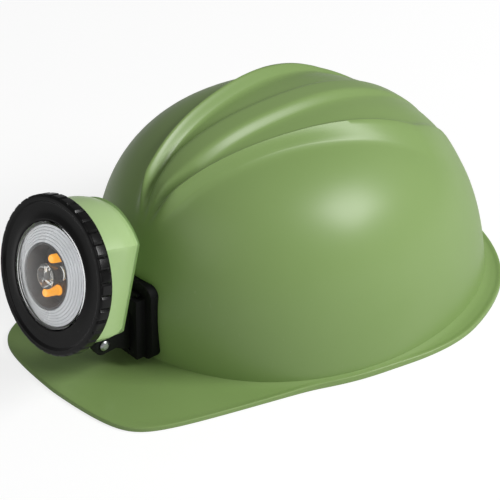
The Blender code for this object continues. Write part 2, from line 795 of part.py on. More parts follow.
def plan_ring(turns, reach_at, height_at):
    """A ring of points in plan round the dome's axis, from its reach and height by plan angle."""
    ring = []
    for turn in turns:
        plan_angle = plain_plan_angle(turn)
        reach = reach_at(plan_angle)
        ring.append(Vector((reach * math.sin(plan_angle), -reach * math.cos(plan_angle),
                            height_at(plan_angle, reach))))
    return ring


def brim_height(plan_angle, reach):
    """Top of the brim: a slope up to the dome, with a fillet at the dome's foot."""
    fillet = FOOT_FILLET * math.exp(-(reach - foot_radius(plan_angle)) / FOOT_FILLET_REACH)
    return RIM_HEIGHT + BRIM_SLOPE * (rim_radius(plan_angle) - reach) + fillet


def brim_rings(turns):
    """Rim, brim and peak as rings, from the bottom of the rim up to the foot of the dome."""
    rings = [plan_ring(turns, rim_radius, lambda angle, reach: 0.0),
             plan_ring(turns, rim_radius, lambda angle, reach: RIM_HEIGHT - RIM_ROUND),
             plan_ring(turns, lambda angle: rim_radius(angle) - RIM_ROUND,
                       lambda angle, reach: RIM_HEIGHT)]
    for step in range(1, BRIM_RINGS + 1):
        share = (step / BRIM_RINGS) ** BRIM_SPACING

        def reach_at(angle, share=share):
            rim, foot = rim_radius(angle), foot_radius(angle)
            return rim + (foot - rim) * share

        rings.append(plan_ring(turns, reach_at, brim_height))
    return rings


def add_brim(mesh_maker, turns):
    """Adds the rim, brim and peak, and gives the corners at the foot of the dome."""
    rows = [[mesh_maker.verts.new(point) for point in ring] for ring in brim_rings(turns)]
    for first, second in zip(rows, rows[1:]):
        for index, corner in enumerate(first):
            after = (index + 1) % len(turns)
            mesh_maker.faces.new((corner, first[after], second[after], second[index]))
    return rows[-1]


def add_crown(mesh_maker, turns, foot):
    """Adds the dome's cross-sections between the corners at its foot."""
    sections = []
    for station in range(1, SHELL_STATIONS):
        half = crown_section(turns[station])
        left = [mesh_maker.verts.new(point) for point in half]
        right = [mesh_maker.verts.new((-point.x, point.y, point.z)) for point in half[1:]]
        sections.append([foot[-station]] + right[::-1] + left + [foot[station]])
    for first, second in zip(sections, sections[1:]):
        for column in range(len(first) - 1):
            mesh_maker.faces.new((first[column], first[column + 1],
                                  second[column + 1], second[column]))
    for pole, section in ((foot[0], sections[0]), (foot[SHELL_STATIONS], sections[-1])):
        for column in range(len(section) - 1):
            mesh_maker.faces.new((pole, section[column], section[column + 1]))


def lug_blocks():
    """The four lugs inside the shell that the harness keys push up into."""
    blocks = bmesh.new()
    for angle in KEY_ANGLES:
        merge_box(blocks, (-LUG_WIDTH / 2.0, -LUG_BITE, -LUG_HEIGHT / 2.0),
                  (LUG_WIDTH / 2.0, LUG_DEPTH, LUG_HEIGHT / 2.0), lug_frame(angle))
    return blocks


def lug_slots():
    slots = bmesh.new()
    low = (LUG_DEPTH - TONGUE_SLOT) / 2.0
    half = KEY_TONGUE_WIDTH / 2.0 + GAP
    for angle in KEY_ANGLES:
        merge_box(slots, (-half, low, -LUG_HEIGHT),
                  (half, low + TONGUE_SLOT, LUG_HEIGHT / 2.0 - SHELL_WALL), lug_frame(angle))
    return slots


def screw_seats():
    """Flats inside the shell that the bracket screws' heads bear on."""
    seats = bmesh.new()
    radius = BRACKET_SCREW_HEAD + GAP
    for x, z in screw_places():
        seat = screw_seat(x, z) - GAP
        turned([(radius, seat), (radius, seat + SCREW_SEAT_RUN)], SEAT_SEGMENTS,
               mesh_maker=seats, frame=along_y(x, z))
    return seats


def build_shell(parent):
    """The cap's moulded shell with its three ridges, peak, brim and four harness lugs."""
    turns = [math.pi * step / SHELL_STATIONS for step in range(2 * SHELL_STATIONS)]
    mesh_maker = bmesh.new()
    foot = add_brim(mesh_maker, turns)
    add_crown(mesh_maker, turns, foot)
    shell = add_object("shell", mesh_maker, shell_green(), parent)
    solidify = shell.modifiers.new("wall", "SOLIDIFY")
    solidify.thickness = SHELL_WALL
    solidify.offset = -1.0
    solidify.use_even_offset = True
    apply_boolean(shell, add_cutter("shell_lug_blocks", lug_blocks(), parent), "UNION")
    apply_boolean(shell, add_cutter("shell_lug_slots", lug_slots(), parent))
    apply_boolean(shell, add_cutter("shell_screw_holes", bracket_screw_holes(), parent))
    apply_boolean(shell, add_cutter("shell_screw_seats", screw_seats(), parent))


# ================================================================ lamp bracket, clip and pin
def screw_places():
    return [(side * BRACKET_SCREW_X, height) for height in (BRACKET_SCREW_LOW, BRACKET_SCREW_HIGH)
            for side in (-1.0, 1.0)]


def bracket_face_y():
    return dome_front_y(0.0, BRACKET_TOP) - GAP - BRACKET_PLATE


def along_y(x, z):
    """Frame whose Z runs back along +Y from the front face of the bracket."""
    frame = Matrix.Rotation(-math.pi / 2.0, 4, "X")
    frame.translation = Vector((x, bracket_face_y(), z))
    return frame


def screw_seat(x, z):
    """How far behind the bracket's face a screw head bears on the inside of the cap."""
    return dome_front_y(x, z) - bracket_face_y() + SHELL_WALL


def bracket_screw_holes():
    holes = bmesh.new()
    radius = BRACKET_SCREW_RADIUS + GAP
    for x, z in screw_places():
        turned([(radius, BRACKET_SCREW_START), (radius, BRACKET_HOLE_RUN)], SCREW_SEGMENTS,
               mesh_maker=holes, frame=along_y(x, z))
    return holes


def bracket_plate():
    """The plate: flat in front, with a back that follows the dome and rounded corners."""
    face = bracket_face_y()
    front, back = [], []
    for column in range(BRACKET_COLUMNS + 1):
        x = BRACKET_HALF_WIDTH * (2.0 * column / BRACKET_COLUMNS - 1.0)
        over = max(abs(x) - (BRACKET_HALF_WIDTH - BRACKET_CORNER), 0.0)
        over = min(over, BRACKET_CORNER * CORNER_REACH)
        cut = BRACKET_CORNER - math.sqrt(BRACKET_CORNER ** 2 - over ** 2)
        low, high = BRACKET_BOTTOM + cut, BRACKET_TOP - cut
        heights = [low + (high - low) * row / BRACKET_ROWS for row in range(BRACKET_ROWS + 1)]
        front.append([Vector((x, face, height)) for height in heights])
        back.append([Vector((x, dome_front_y(x, height) - GAP, height)) for height in heights])
    return sheet(front, back)


def rail_lip_y():
    """Back of the rails' lips, in front of the clip's tongue."""
    return bracket_face_y() - 2.0 * GAP - TONGUE_THICKNESS


def bracket_rails():
    root, lip = bracket_face_y() + JOIN_BITE, rail_lip_y()
    inner = TONGUE_HALF_WIDTH + GAP
    rails = bmesh.new()
    for side in (-1.0, 1.0):
        outline = [(side * (inner + RAIL_THICKNESS), root),
                   (side * (inner + RAIL_THICKNESS), lip - RAIL_THICKNESS),
                   (side * (TONGUE_HALF_WIDTH - RAIL_LIP), lip - RAIL_THICKNESS),
                   (side * (TONGUE_HALF_WIDTH - RAIL_LIP), lip),
                   (side * inner, lip), (side * inner, root)]
        prism(outline, RAIL_BOTTOM, RAIL_TOP, "Z", rails)
    return rails


def build_bracket(parent):
    """Black moulded plate screwed to the front of the cap, with two rails for the lamp's clip."""
    bracket = add_object("lamp_bracket", bracket_plate(), bracket_black(), parent)
    apply_boolean(bracket, add_cutter("bracket_rails", bracket_rails(), parent), "UNION")
    half = TONGUE_HALF_WIDTH + GAP + RAIL_THICKNESS
    ledge = box((-half, rail_lip_y() - RAIL_THICKNESS, RAIL_BOTTOM - LEDGE_HEIGHT),
                (half, bracket_face_y() + JOIN_BITE, RAIL_BOTTOM))
    apply_boolean(bracket, add_cutter("bracket_ledge", ledge, parent), "UNION")
    apply_boolean(bracket, add_cutter("bracket_screw_holes", bracket_screw_holes(), parent))


def build_bracket_screws(parent):
    """Four screws driven from inside the cap, through its wall into the bracket."""
    steel = screw_steel()
    for number, (x, z) in enumerate(screw_places(), start=1):
        seat = screw_seat(x, z)
        profile = [(BRACKET_SCREW_RADIUS, BRACKET_SCREW_START + GAP), (BRACKET_SCREW_RADIUS, seat),
                   (BRACKET_SCREW_HEAD, seat),
                   (BRACKET_SCREW_HEAD, seat + BRACKET_SCREW_HEAD_HEIGHT / 2.0),
                   (BRACKET_SCREW_CROWN, seat + BRACKET_SCREW_HEAD_HEIGHT)]
        screw = turned(profile, SCREW_SEGMENTS, frame=along_y(x, z))
        add_object("bracket_screw_%d" % number, screw, steel, parent)


def pivot_place():
    """Tilt axis in the shell frame, from its place in the lamp's frame."""
    back = Vector((0.0, math.cos(LAMP_TILT), -math.sin(LAMP_TILT)))
    down = Vector((0.0, -math.sin(LAMP_TILT), -math.cos(LAMP_TILT)))
    return Vector((0.0, -LAMP_FORWARD, LAMP_HEIGHT)) + back * PIVOT_BACK + down * PIVOT_DROP


def along_x(y, z):
    """Frame whose Z runs along +X through a place in the middle plane."""
    frame = Matrix.Rotation(math.pi / 2.0, 4, "Y")
    frame.translation = Vector((0.0, y, z))
    return frame


def fork_inside():
    return LUG_HALF_WIDTH + WASHER_THICKNESS + 2.0 * GAP


def clip_arm(pivot):
    """The arm that reaches from the tongue out to the fork."""
    root = bracket_face_y() - GAP - TONGUE_THICKNESS / 2.0
    seat = RAIL_BOTTOM + GAP
    floor = pivot.y + KNUCKLE_RADIUS + FORK_FLOOR
    outline = [(root, TONGUE_TOP - ARM_TOP_DROP), (root, seat + ARM_LOW_DROP),
               (root - ARM_ROOT, seat + ARM_LOW_KNEE),
               (floor, pivot.z - KNUCKLE_RADIUS + ARM_HEAD_LOW),
               (floor, pivot.z + KNUCKLE_RADIUS - ARM_HEAD_HIGH),
               (root - ARM_ROOT, TONGUE_TOP - ARM_KNEE_DROP)]
    half = TONGUE_HALF_WIDTH - RAIL_LIP - GAP
    return prism(outline, -half, half)


def clip_cheeks(pivot):
    """The fork's two cheeks, either side of the lamp's lug and its washers."""
    root = pivot.y + KNUCKLE_RADIUS + FORK_FLOOR + FORK_BITE
    outline = [(root, pivot.z + KNUCKLE_RADIUS - CHEEK_HIGH)]
    outline += arc((pivot.y, pivot.z), KNUCKLE_RADIUS, CHEEK_START, CHEEK_END, CHEEK_STEPS)
    outline += [(root, pivot.z - KNUCKLE_RADIUS + CHEEK_LOW)]
    cheeks = bmesh.new()
    for side in (-1.0, 1.0):
        ends = sorted((side * fork_inside(), side * (fork_inside() + CHEEK_THICKNESS)))
        prism(outline, ends[0], ends[1], "X", cheeks)
    return cheeks


def build_clip(parent):
    """The lamp's black clip: a tongue that slides down the rails and a fork for the tilt pin."""
    pivot = pivot_place()
    face = bracket_face_y() - GAP
    tongue = box((-TONGUE_HALF_WIDTH, face - TONGUE_THICKNESS, RAIL_BOTTOM + GAP),
                 (TONGUE_HALF_WIDTH, face, TONGUE_TOP))
    clip = add_object("lamp_clip", tongue, clip_black(), parent)
    apply_boolean(clip, add_cutter("clip_arm", clip_arm(pivot), parent), "UNION")
    apply_boolean(clip, add_cutter("clip_cheeks", clip_cheeks(pivot), parent), "UNION")
    reach = fork_inside() + CHEEK_THICKNESS + HOLE_OVERRUN
    hole = turned([(PIN_RADIUS + GAP, -reach), (PIN_RADIUS + GAP, reach)], PIN_SEGMENTS,
                  frame=along_x(pivot.y, pivot.z))
    apply_boolean(clip, add_cutter("clip_pin_hole", hole, parent))


def build_tilt_pin(parent):
    """Hinge pin with a head at one end and a swaged collar at the other."""
    pivot = pivot_place()
    half = fork_inside() + CHEEK_THICKNESS + GAP
    profile = [(PIN_CROWN_RADIUS, -half - PIN_HEAD_HEIGHT),
               (PIN_HEAD_RADIUS, -half - PIN_HEAD_HEIGHT / 2.0), (PIN_HEAD_RADIUS, -half),
               (PIN_RADIUS, -half), (PIN_RADIUS, half), (PIN_COLLAR_RADIUS, half),
               (PIN_COLLAR_RADIUS, half + PIN_HEAD_HEIGHT / 2.0),
               (PIN_RADIUS, half + PIN_HEAD_HEIGHT)]
    pin = turned(profile, PIN_SEGMENTS, frame=along_x(pivot.y, pivot.z))
    add_object("tilt_pin", pin, pin_steel(), parent)


def build_friction_washers(parent):
    """Two washers that hold the lamp at the tilt the wearer gives it."""
    pivot = pivot_place()
    nylon = washer_nylon()
    inner, outer = PIN_RADIUS + GAP, KNUCKLE_RADIUS - WASHER_INSET
    for side, name in ((-1.0, "friction_washer_right"), (1.0, "friction_washer_left")):
        near = side * (LUG_HALF_WIDTH + GAP)
        far = side * (LUG_HALF_WIDTH + GAP + WASHER_THICKNESS)
        profile = [(inner, near), (outer, near), (outer, far), (inner, far)]
        washer = turned(profile, WASHER_SEGMENTS, cyclic=True, frame=along_x(pivot.y, pivot.z))
        add_object(name, washer, nylon, parent)


# ================================================================ lamp body
def flatted_ring(radius, flat, depth):
    """One ring of the housing: a circle whose two sides are cut flat."""
    ring = []
    for step in range(HOUSING_SEGMENTS):
        turn = 2.0 * math.pi * step / HOUSING_SEGMENTS
        x = min(max(radius * math.sin(turn), -flat), flat)
        ring.append(Vector((x, radius * math.cos(turn), -depth)))
    return ring


def housing_rings():
    """The housing's outside from the back to its front edge, then its inside back again."""
    wall = HOUSING_WALL
    taper = (HOUSING_RADIUS - HOUSING_REAR_RADIUS) / (HOUSING_DEPTH - HOUSING_TAPER_START)
    knee = HOUSING_DEPTH - HOUSING_ROUND
    knee_radius = HOUSING_RADIUS - taper * (knee - HOUSING_TAPER_START)
    bevel = HOUSING_BEVEL
    outer = [(HOUSING_REAR_RADIUS - HOUSING_ROUND, HOUSING_FLAT - HOUSING_ROUND, HOUSING_DEPTH),
             (HOUSING_REAR_RADIUS - bevel, HOUSING_FLAT - bevel, HOUSING_DEPTH - bevel),
             (knee_radius, HOUSING_FLAT, knee),
             (HOUSING_RADIUS, HOUSING_FLAT, HOUSING_TAPER_START),
             (HOUSING_RADIUS, HOUSING_FLAT, HOUSING_FLAT_START - wall),
             (HOUSING_RADIUS, HOUSING_RADIUS, HOUSING_FLAT_START - wall - GAP),
             (HOUSING_RADIUS, HOUSING_RADIUS, HOUSING_FRONT)]
    inside = HOUSING_RADIUS - wall
    inner = [(inside, inside, HOUSING_FRONT),
             (inside, inside, HOUSING_FLAT_START - GAP),
             (inside, HOUSING_FLAT - wall, HOUSING_FLAT_START),
             (inside, HOUSING_FLAT - wall, HOUSING_TAPER_START),
             (knee_radius - wall, HOUSING_FLAT - wall, HOUSING_DEPTH - wall)]
    return [flatted_ring(*station) for station in outer + inner]


def housing_lug():
    """The lug under the back of the housing that stands between the fork's cheeks."""
    outline = [(-HOUSING_REAR_RADIUS + LUG_REAR_BITE, -HOUSING_DEPTH + HOUSING_ROUND),
               (-HOUSING_RADIUS + LUG_FRONT_BITE, -HOUSING_TAPER_START + LUG_RUN)]
    outline += arc((-PIVOT_DROP, -PIVOT_BACK), KNUCKLE_RADIUS, KNUCKLE_START, KNUCKLE_END,
                   KNUCKLE_STEPS)
    return prism(outline, -LUG_HALF_WIDTH, LUG_HALF_WIDTH)


def housing_holes():
    """Holes for the tilt pin, the switch shaft and the two charging studs."""
    holes = bmesh.new()
    pin_frame = Matrix.Rotation(math.pi / 2.0, 4, "Y")
    pin_frame.translation = Vector((0.0, -PIVOT_DROP, -PIVOT_BACK))
    pin = PIN_RADIUS + GAP
    turned([(pin, -HOUSING_FLAT), (pin, HOUSING_FLAT)], PIN_SEGMENTS, mesh_maker=holes,
           frame=pin_frame)
    shaft = SHAFT_RADIUS + GAP
    turned([(shaft, HOUSING_FLAT - 2.0 * HOUSING_WALL), (shaft, HOUSING_FLAT + HOUSING_WALL)],
           SHAFT_SEGMENTS, mesh_maker=holes, frame=switch_frame())
    stud = CONTACT_RADIUS + GAP
    for side in (-1.0, 1.0):
        turned([(stud, -HOUSING_DEPTH - HOUSING_WALL), (stud, -HOUSING_DEPTH + 2.0 * HOUSING_WALL)],
               SCREW_SEGMENTS, mesh_maker=holes,
               frame=Matrix.Translation((side * CONTACT_X, CONTACT_UP, 0.0)))
    return holes


def build_housing(lamp):
    """Light green lamp body: a bowl with flat sides, a lug below and holes for what passes it."""
    housing = add_object("lamp_housing", loft(housing_rings()), housing_green(), lamp)
    apply_boolean(housing, add_cutter("housing_lug", housing_lug(), lamp), "UNION")
    apply_boolean(housing, add_cutter("housing_holes", housing_holes(), lamp))


def build_bezel(lamp):
    """Black knurled ring that turns on the housing and holds the lens."""
    skirt = HOUSING_RADIUS + 2.0 * GAP
    lip, chamfer = BEZEL_LIP, BEZEL_CHAMFER
    band_back = -lip - BEZEL_BAND
    rim = BEZEL_RADIUS - BEZEL_RIM_WIDTH
    plain = [(BEZEL_WINDOW, -BEZEL_FACE), (BEZEL_WINDOW, 0.0), (BEZEL_WINDOW + chamfer, lip),
             (rim - chamfer, lip - BEZEL_DISH), (rim, lip), (BEZEL_RADIUS - chamfer, lip)]
    knurled = [(BEZEL_RADIUS, -lip), (BEZEL_RADIUS, band_back)]
    behind = [(BEZEL_RADIUS - chamfer, band_back - BEZEL_SKIRT),
              (skirt, band_back - BEZEL_SKIRT), (skirt, -BEZEL_FACE)]
    rings = []
    for radius, height in plain + knurled + behind:
        depth = BEZEL_KNURL if (radius, height) in knurled else 0.0
        ring = []
        for step in range(2 * BEZEL_TEETH):
            turn = math.pi * step / BEZEL_TEETH
            reach = radius - depth * (step % 2)
            ring.append(Vector((reach * math.cos(turn), reach * math.sin(turn), height)))
        rings.append(ring)
    add_object("bezel_ring", loft(rings, cyclic=True), bezel_black(), lamp)


def lens_arc(radius, edge, crown, steps):
    """Points of a domed face from its edge height to its crown."""
    shares = [1.0 - step / steps for step in range(steps)]
    return [(radius * share, crown - (crown - edge) * share * share) for share in shares]


def build_lens(lamp):
    """Clear domed lens with a flange clamped under the bezel."""
    outer = BEZEL_WINDOW - GAP
    inner = outer - LENS_WALL
    flange_top = -BEZEL_FACE - GAP
    flange_bottom = flange_top - LENS_WALL
    under = LENS_CROWN - LENS_WALL
    profile = [(LENS_TIP, under)]
    profile += lens_arc(inner, LENS_SHOULDER - LENS_WALL, under, LENS_INNER_STEPS)[::-1]
    profile += [(inner, flange_bottom), (LENS_FLANGE, flange_bottom), (LENS_FLANGE, flange_top),
                (outer, flange_top)]
    profile += lens_arc(outer, LENS_SHOULDER, LENS_CROWN, LENS_OUTER_STEPS)
    profile += [(LENS_TIP, LENS_CROWN)]
    add_object("lens", turned(profile, LENS_SEGMENTS), lens_clear(), lamp)


def build_gasket(lamp):
    """Seal between the lens flange and the front edge of the housing."""
    top = -BEZEL_FACE - 2.0 * GAP - LENS_WALL
    inner = LENS_FLANGE - GASKET_WIDTH
    profile = [(inner, top), (LENS_FLANGE, top), (LENS_FLANGE, top - GASKET_HEIGHT),
               (inner, top - GASKET_HEIGHT)]
    gasket = turned(profile, LENS_SEGMENTS, cyclic=True)
    add_object("lens_gasket", gasket, gasket_rubber(), lamp)


# ================================================================ light unit
def heat_sink_front():
    return -LED_BOARD_DEPTH - LED_BOARD_THICKNESS - GAP


def build_reflector(lamp):
    """Silvered ring with six steps that rise towards the middle of the lamp."""
    outer = BEZEL_WINDOW - 2.0 * GAP - LENS_WALL
    inner = WELL_RADIUS + GAP
    top = WELL_FRONT
    base = heat_sink_front() + GAP
    tread = (outer - inner) / REFLECTOR_STEPS
    riser = REFLECTOR_DROP / REFLECTOR_STEPS
    profile = [(outer - REFLECTOR_WALL, base), (outer, base)]
    for step in range(REFLECTOR_STEPS):
        radius = outer - tread * step
        height = top - REFLECTOR_DROP + riser * step
        profile += [(radius, height), (radius - tread * TREAD_SHARE, height + riser * TREAD_RISE)]
    profile += [(inner, top), (inner, top - REFLECTOR_WALL),
                (outer - REFLECTOR_WALL, top - REFLECTOR_DROP - REFLECTOR_WALL)]
    reflector = turned(profile, LENS_SEGMENTS, cyclic=True)
    add_object("reflector", reflector, reflector_silver(), lamp)


def build_led_well(lamp):
    """Dark grey sleeve in the middle of the reflector, round the three emitters."""
    low, high = -LED_BOARD_DEPTH - LED_BOARD_THICKNESS, WELL_FRONT
    inner = WELL_RADIUS - WELL_WALL
    profile = [(inner, low), (WELL_RADIUS, low), (WELL_RADIUS, high), (inner, high)]
    add_object("led_well", turned(profile, WELL_SEGMENTS, cyclic=True), well_grey(), lamp)


def build_led_board(lamp):
    """Round board at the bottom of the well."""
    radius = WELL_RADIUS - WELL_WALL - GAP
    profile = [(radius, -LED_BOARD_DEPTH - LED_BOARD_THICKNESS), (radius, -LED_BOARD_DEPTH)]
    add_object("led_board", turned(profile, LENS_SEGMENTS), led_board_dark(), lamp)


def build_heat_sink(lamp):
    """Aluminium disc behind the LED board, cut flat to pass the housing's sides."""
    front = heat_sink_front()
    rings = [flatted_ring(HEAT_SINK_RADIUS, LAMP_INSIDE, -height)
             for height in (front - HEAT_SINK_THICKNESS, front)]
    add_object("heat_sink", loft(rings), heat_sink_aluminium(), lamp)


def emitter_floor():
    return -LED_BOARD_DEPTH + GAP


def build_main_led(lamp):
    half = CHIP_SIZE / 2.0
    chip = box((-half, -half, emitter_floor()), (half, half, emitter_floor() + CHIP_HEIGHT))
    add_object("main_led", chip, chip_phosphor(), lamp)


def build_main_optic(lamp):
    """Clear optic that stands over the main LED with a pocket for it."""
    floor = emitter_floor()
    ceiling = floor + CHIP_HEIGHT + OPTIC_POCKET_RISE
    profile = [(OPTIC_TIP, ceiling), (OPTIC_POCKET, ceiling), (OPTIC_POCKET, floor),
               (OPTIC_NECK, floor), (OPTIC_RADIUS, OPTIC_FRONT - OPTIC_EDGE - OPTIC_BAND),
               (OPTIC_RADIUS, OPTIC_FRONT - OPTIC_EDGE), (OPTIC_TIP, OPTIC_FRONT)]
    add_object("main_optic", turned(profile, OPTIC_SEGMENTS), optic_clear(), lamp)


def build_amber_leds(lamp):
    """The two standby LEDs, above and below the main optic."""
    floor = emitter_floor()
    amber = amber_epoxy()
    profile = [(AMBER_FLANGE, floor), (AMBER_FLANGE, floor + AMBER_FLANGE_HEIGHT),
               (AMBER_RADIUS, floor + AMBER_FLANGE_HEIGHT)]
    for angle in AMBER_RISES:
        turn = math.radians(angle)
        profile.append((AMBER_RADIUS * math.cos(turn),
                        AMBER_TIP - AMBER_RADIUS * (1.0 - math.sin(turn))))
    for side, name in ((-1.0, "amber_led_lower"), (1.0, "amber_led_upper")):
        frame = Matrix.Translation((0.0, side * AMBER_OFFSET, 0.0))
        add_object(name, turned(profile, AMBER_SEGMENTS, frame=frame), amber, lamp)


# ================================================================ battery, board and switch
def lamp_back():
    return HOUSING_DEPTH - HOUSING_WALL - GAP


def tray_front():
    return TRAY_WALL + GAP + BATTERY_THICKNESS - lamp_back()


def battery_corner(sign, edge, height):
    """A corner of the battery's place, moved out by an edge."""
    return (BATTERY_X + sign * (BATTERY_LENGTH / 2.0 + edge),
            sign * (BATTERY_WIDTH / 2.0 + edge), height)


def build_battery_tray(lamp):
    edge = TRAY_WALL + GAP
    block = box(battery_corner(-1.0, edge, -lamp_back()), battery_corner(1.0, edge, tray_front()))
    tray = add_object("battery_tray", block, tray_grey(), lamp)
    pocket = box(battery_corner(-1.0, GAP, TRAY_WALL - lamp_back()),
                 battery_corner(1.0, GAP, tray_front() + TRAY_WALL))
    apply_boolean(tray, add_cutter("tray_pocket", pocket, lamp))


def build_battery(lamp):
    battery = box(battery_corner(-1.0, 0.0, TRAY_WALL + GAP - lamp_back()),
                  battery_corner(1.0, 0.0, tray_front()))
    add_object("battery_pack", battery, battery_wrap(), lamp)


def build_control_board(lamp):
    """Charging and switching board with four low parts on its front."""
    back = tray_front() + BOARD_CLEARANCE
    top = back + BOARD_THICKNESS
    half = Vector((BATTERY_LENGTH, BOARD_WIDTH, 0.0)) / 2.0
    centre = Vector((BATTERY_X, 0.0, back))
    board = box(centre - half, centre + half + Vector((0.0, 0.0, BOARD_THICKNESS)))
    control_board = add_object("control_board", board, board_green(), lamp)
    parts = bmesh.new()
    part_half = Vector((BOARD_PART_LENGTH, BOARD_PART_WIDTH, 0.0)) / 2.0
    for x_share, y_share in BOARD_PART_PLACES:
        place = Vector((BATTERY_X + x_share * BATTERY_LENGTH, y_share * BOARD_WIDTH, top))
        merge_box(parts, place - part_half - Vector((0.0, 0.0, GAP)),
                  place + part_half + Vector((0.0, 0.0, BOARD_PART_HEIGHT)))
    apply_boolean(control_board, add_cutter("board_parts", parts, lamp), "UNION")


def build_charge_contacts(lamp):
    """Two brass studs in the back of the housing, for a charging stand."""
    brass = contact_brass()
    outside = -HOUSING_DEPTH - GAP
    profile = [(CONTACT_CROWN, outside - CONTACT_CROWN_HEIGHT),
               (CONTACT_HEAD, outside - CONTACT_HEAD_HEIGHT), (CONTACT_HEAD, outside),
               (CONTACT_RADIUS, outside), (CONTACT_RADIUS, CONTACT_TAIL - lamp_back())]
    for side, name in ((-1.0, "charge_contact_right"), (1.0, "charge_contact_left")):
        frame = Matrix.Translation((side * CONTACT_X, CONTACT_UP, 0.0))
        add_object(name, turned(profile, SCREW_SEGMENTS, frame=frame), brass, lamp)


def switch_frame():
    """Frame at the lamp's middle plane whose Z runs out along the switch shaft, towards -X."""
    frame = Matrix.Rotation(-math.pi / 2.0, 4, "Y")
    frame.translation = Vector((0.0, SWITCH_UP, -SWITCH_BACK))
    return frame


def seal_base():
    return HOUSING_FLAT + GAP


def knob_base():
    return seal_base() + SEAL_HEIGHT + GAP


def build_switch_body(lamp):
    """Rotary switch inside the housing wall on the wearer's right."""
    frame = switch_frame()
    half, depth = SWITCH_BODY_WIDTH / 2.0, SWITCH_BODY_DEPTH / 2.0
    block = box((-depth, -half, LAMP_INSIDE - SWITCH_BODY_REACH), (depth, half, LAMP_INSIDE), frame)
    body = add_object("switch_body", block, switch_body_black(), lamp)
    radius = SHAFT_RADIUS + GAP
    bore = turned([(radius, LAMP_INSIDE - SWITCH_BODY_REACH / 2.0),
                   (radius, LAMP_INSIDE + HOLE_OVERRUN)], SHAFT_SEGMENTS, frame=frame)
    apply_boolean(body, add_cutter("switch_bore", bore, lamp))


def build_switch_seal(lamp):
    """Rubber ring round the shaft where it leaves the housing."""
    inner = SHAFT_RADIUS + GAP
    outer, top = inner + SEAL_WIDTH, seal_base() + SEAL_HEIGHT
    profile = [(inner, seal_base()), (outer, seal_base()), (outer, top), (inner, top)]
    seal = turned(profile, SEAL_SEGMENTS, cyclic=True, frame=switch_frame())
    add_object("switch_seal", seal, switch_seal_rubber(), lamp)


def build_switch_shaft(lamp):
    profile = [(SHAFT_RADIUS, LAMP_INSIDE - SWITCH_BODY_REACH / 2.0 + GAP),
               (SHAFT_RADIUS, knob_base() + KNOB_SOCKET)]
    shaft = turned(profile, SHAFT_SEGMENTS, frame=switch_frame())
    add_object("switch_shaft", shaft, shaft_steel(), lamp)


def build_switch_knob(lamp):
    """Fluted knob with a blind socket for the shaft."""
    frame, base = switch_frame(), knob_base()
    rings = [fluted_ring(KNOB_RADIUS, 0.0, KNOB_FLUTES, base, frame),
             fluted_ring(KNOB_RADIUS, KNOB_FLUTE_DEPTH, KNOB_FLUTES, base + KNOB_BASE, frame),
             fluted_ring(KNOB_SHOULDER, KNOB_FLUTE_DEPTH, KNOB_FLUTES,
                         base + KNOB_HEIGHT - KNOB_BASE, frame),
             fluted_ring(KNOB_CROWN, 0.0, KNOB_FLUTES, base + KNOB_HEIGHT, frame)]
    knob = add_object("switch_knob", loft(rings), switch_knob_black(), lamp)
    radius = SHAFT_RADIUS + GAP
    socket = turned([(radius, base - KNOB_BASE), (radius, base + KNOB_SOCKET + GAP)],
                    SHAFT_SEGMENTS, frame=frame)
    apply_boolean(knob, add_cutter("knob_socket", socket, lamp))


# ================================================================ harness
def headband_strip():
    """The band as a strip between its outer and inner faces."""
    front, back = [], []
    rows = (BAND_BOTTOM, BAND_BOTTOM + BAND_HEIGHT)
    for step in range(BAND_STEPS + 1):
        turn = BAND_END * (2.0 * step / BAND_STEPS - 1.0)
        outside = band_point(turn, -BAND_THICKNESS / 2.0)
        inside = band_point(turn, BAND_THICKNESS / 2.0)
        front.append([outside + Vector((0.0, 0.0, height)) for height in rows])
        back.append([inside + Vector((0.0, 0.0, height)) for height in rows])
    return sheet(front, back)


def build_headband(parent):
    """Headband strip with an eye at each tail, through which its rack slides."""
    headband = add_object("headband", headband_strip(), headband_black(), parent)
    blocks, slots = bmesh.new(), bmesh.new()
    half, rack_half = EYE_WIDTH / 2.0, RACK_THICKNESS / 2.0 + GAP
    for side in (-1.0, 1.0):
        centre_x = side * EYE_X
        low = rack_band(side)[0] - GAP - EYE_WALL
        high = rack_band(side)[1] + GAP + EYE_WALL
        merge_box(blocks, (centre_x - half, RACK_PLACE - rack_half - EYE_ROOT, low),
                  (centre_x + half, RACK_PLACE + rack_half + EYE_WALL, high))
        merge_box(slots, (centre_x - EYE_WIDTH, RACK_PLACE - rack_half, low + EYE_WALL),
                  (centre_x + EYE_WIDTH, RACK_PLACE + rack_half, high - EYE_WALL))
    apply_boolean(headband, add_cutter("headband_eyes", blocks, parent), "UNION")
    apply_boolean(headband, add_cutter("headband_eye_slots", slots, parent))


def build_sweatband(parent):
    """Padded forehead band inside the headband."""
    near = BAND_THICKNESS / 2.0 + GAP
    middle = BAND_BOTTOM + BAND_HEIGHT / 2.0
    rows = (middle - SWEATBAND_HEIGHT / 2.0, middle, middle + SWEATBAND_HEIGHT / 2.0)
    crown = (near + SWEATBAND_EDGE, near + SWEATBAND_THICKNESS, near + SWEATBAND_EDGE)
    front, back = [], []
    for step in range(SWEATBAND_STEPS + 1):
        turn = SWEATBAND_END * (2.0 * step / SWEATBAND_STEPS - 1.0)
        front.append([band_point(turn, near) + Vector((0.0, 0.0, height)) for height in rows])
        back.append([band_point(turn, inset) + Vector((0.0, 0.0, height))
                     for inset, height in zip(crown, rows)])
    add_object("sweatband", sheet(front, back), sweatband_foam(), parent)


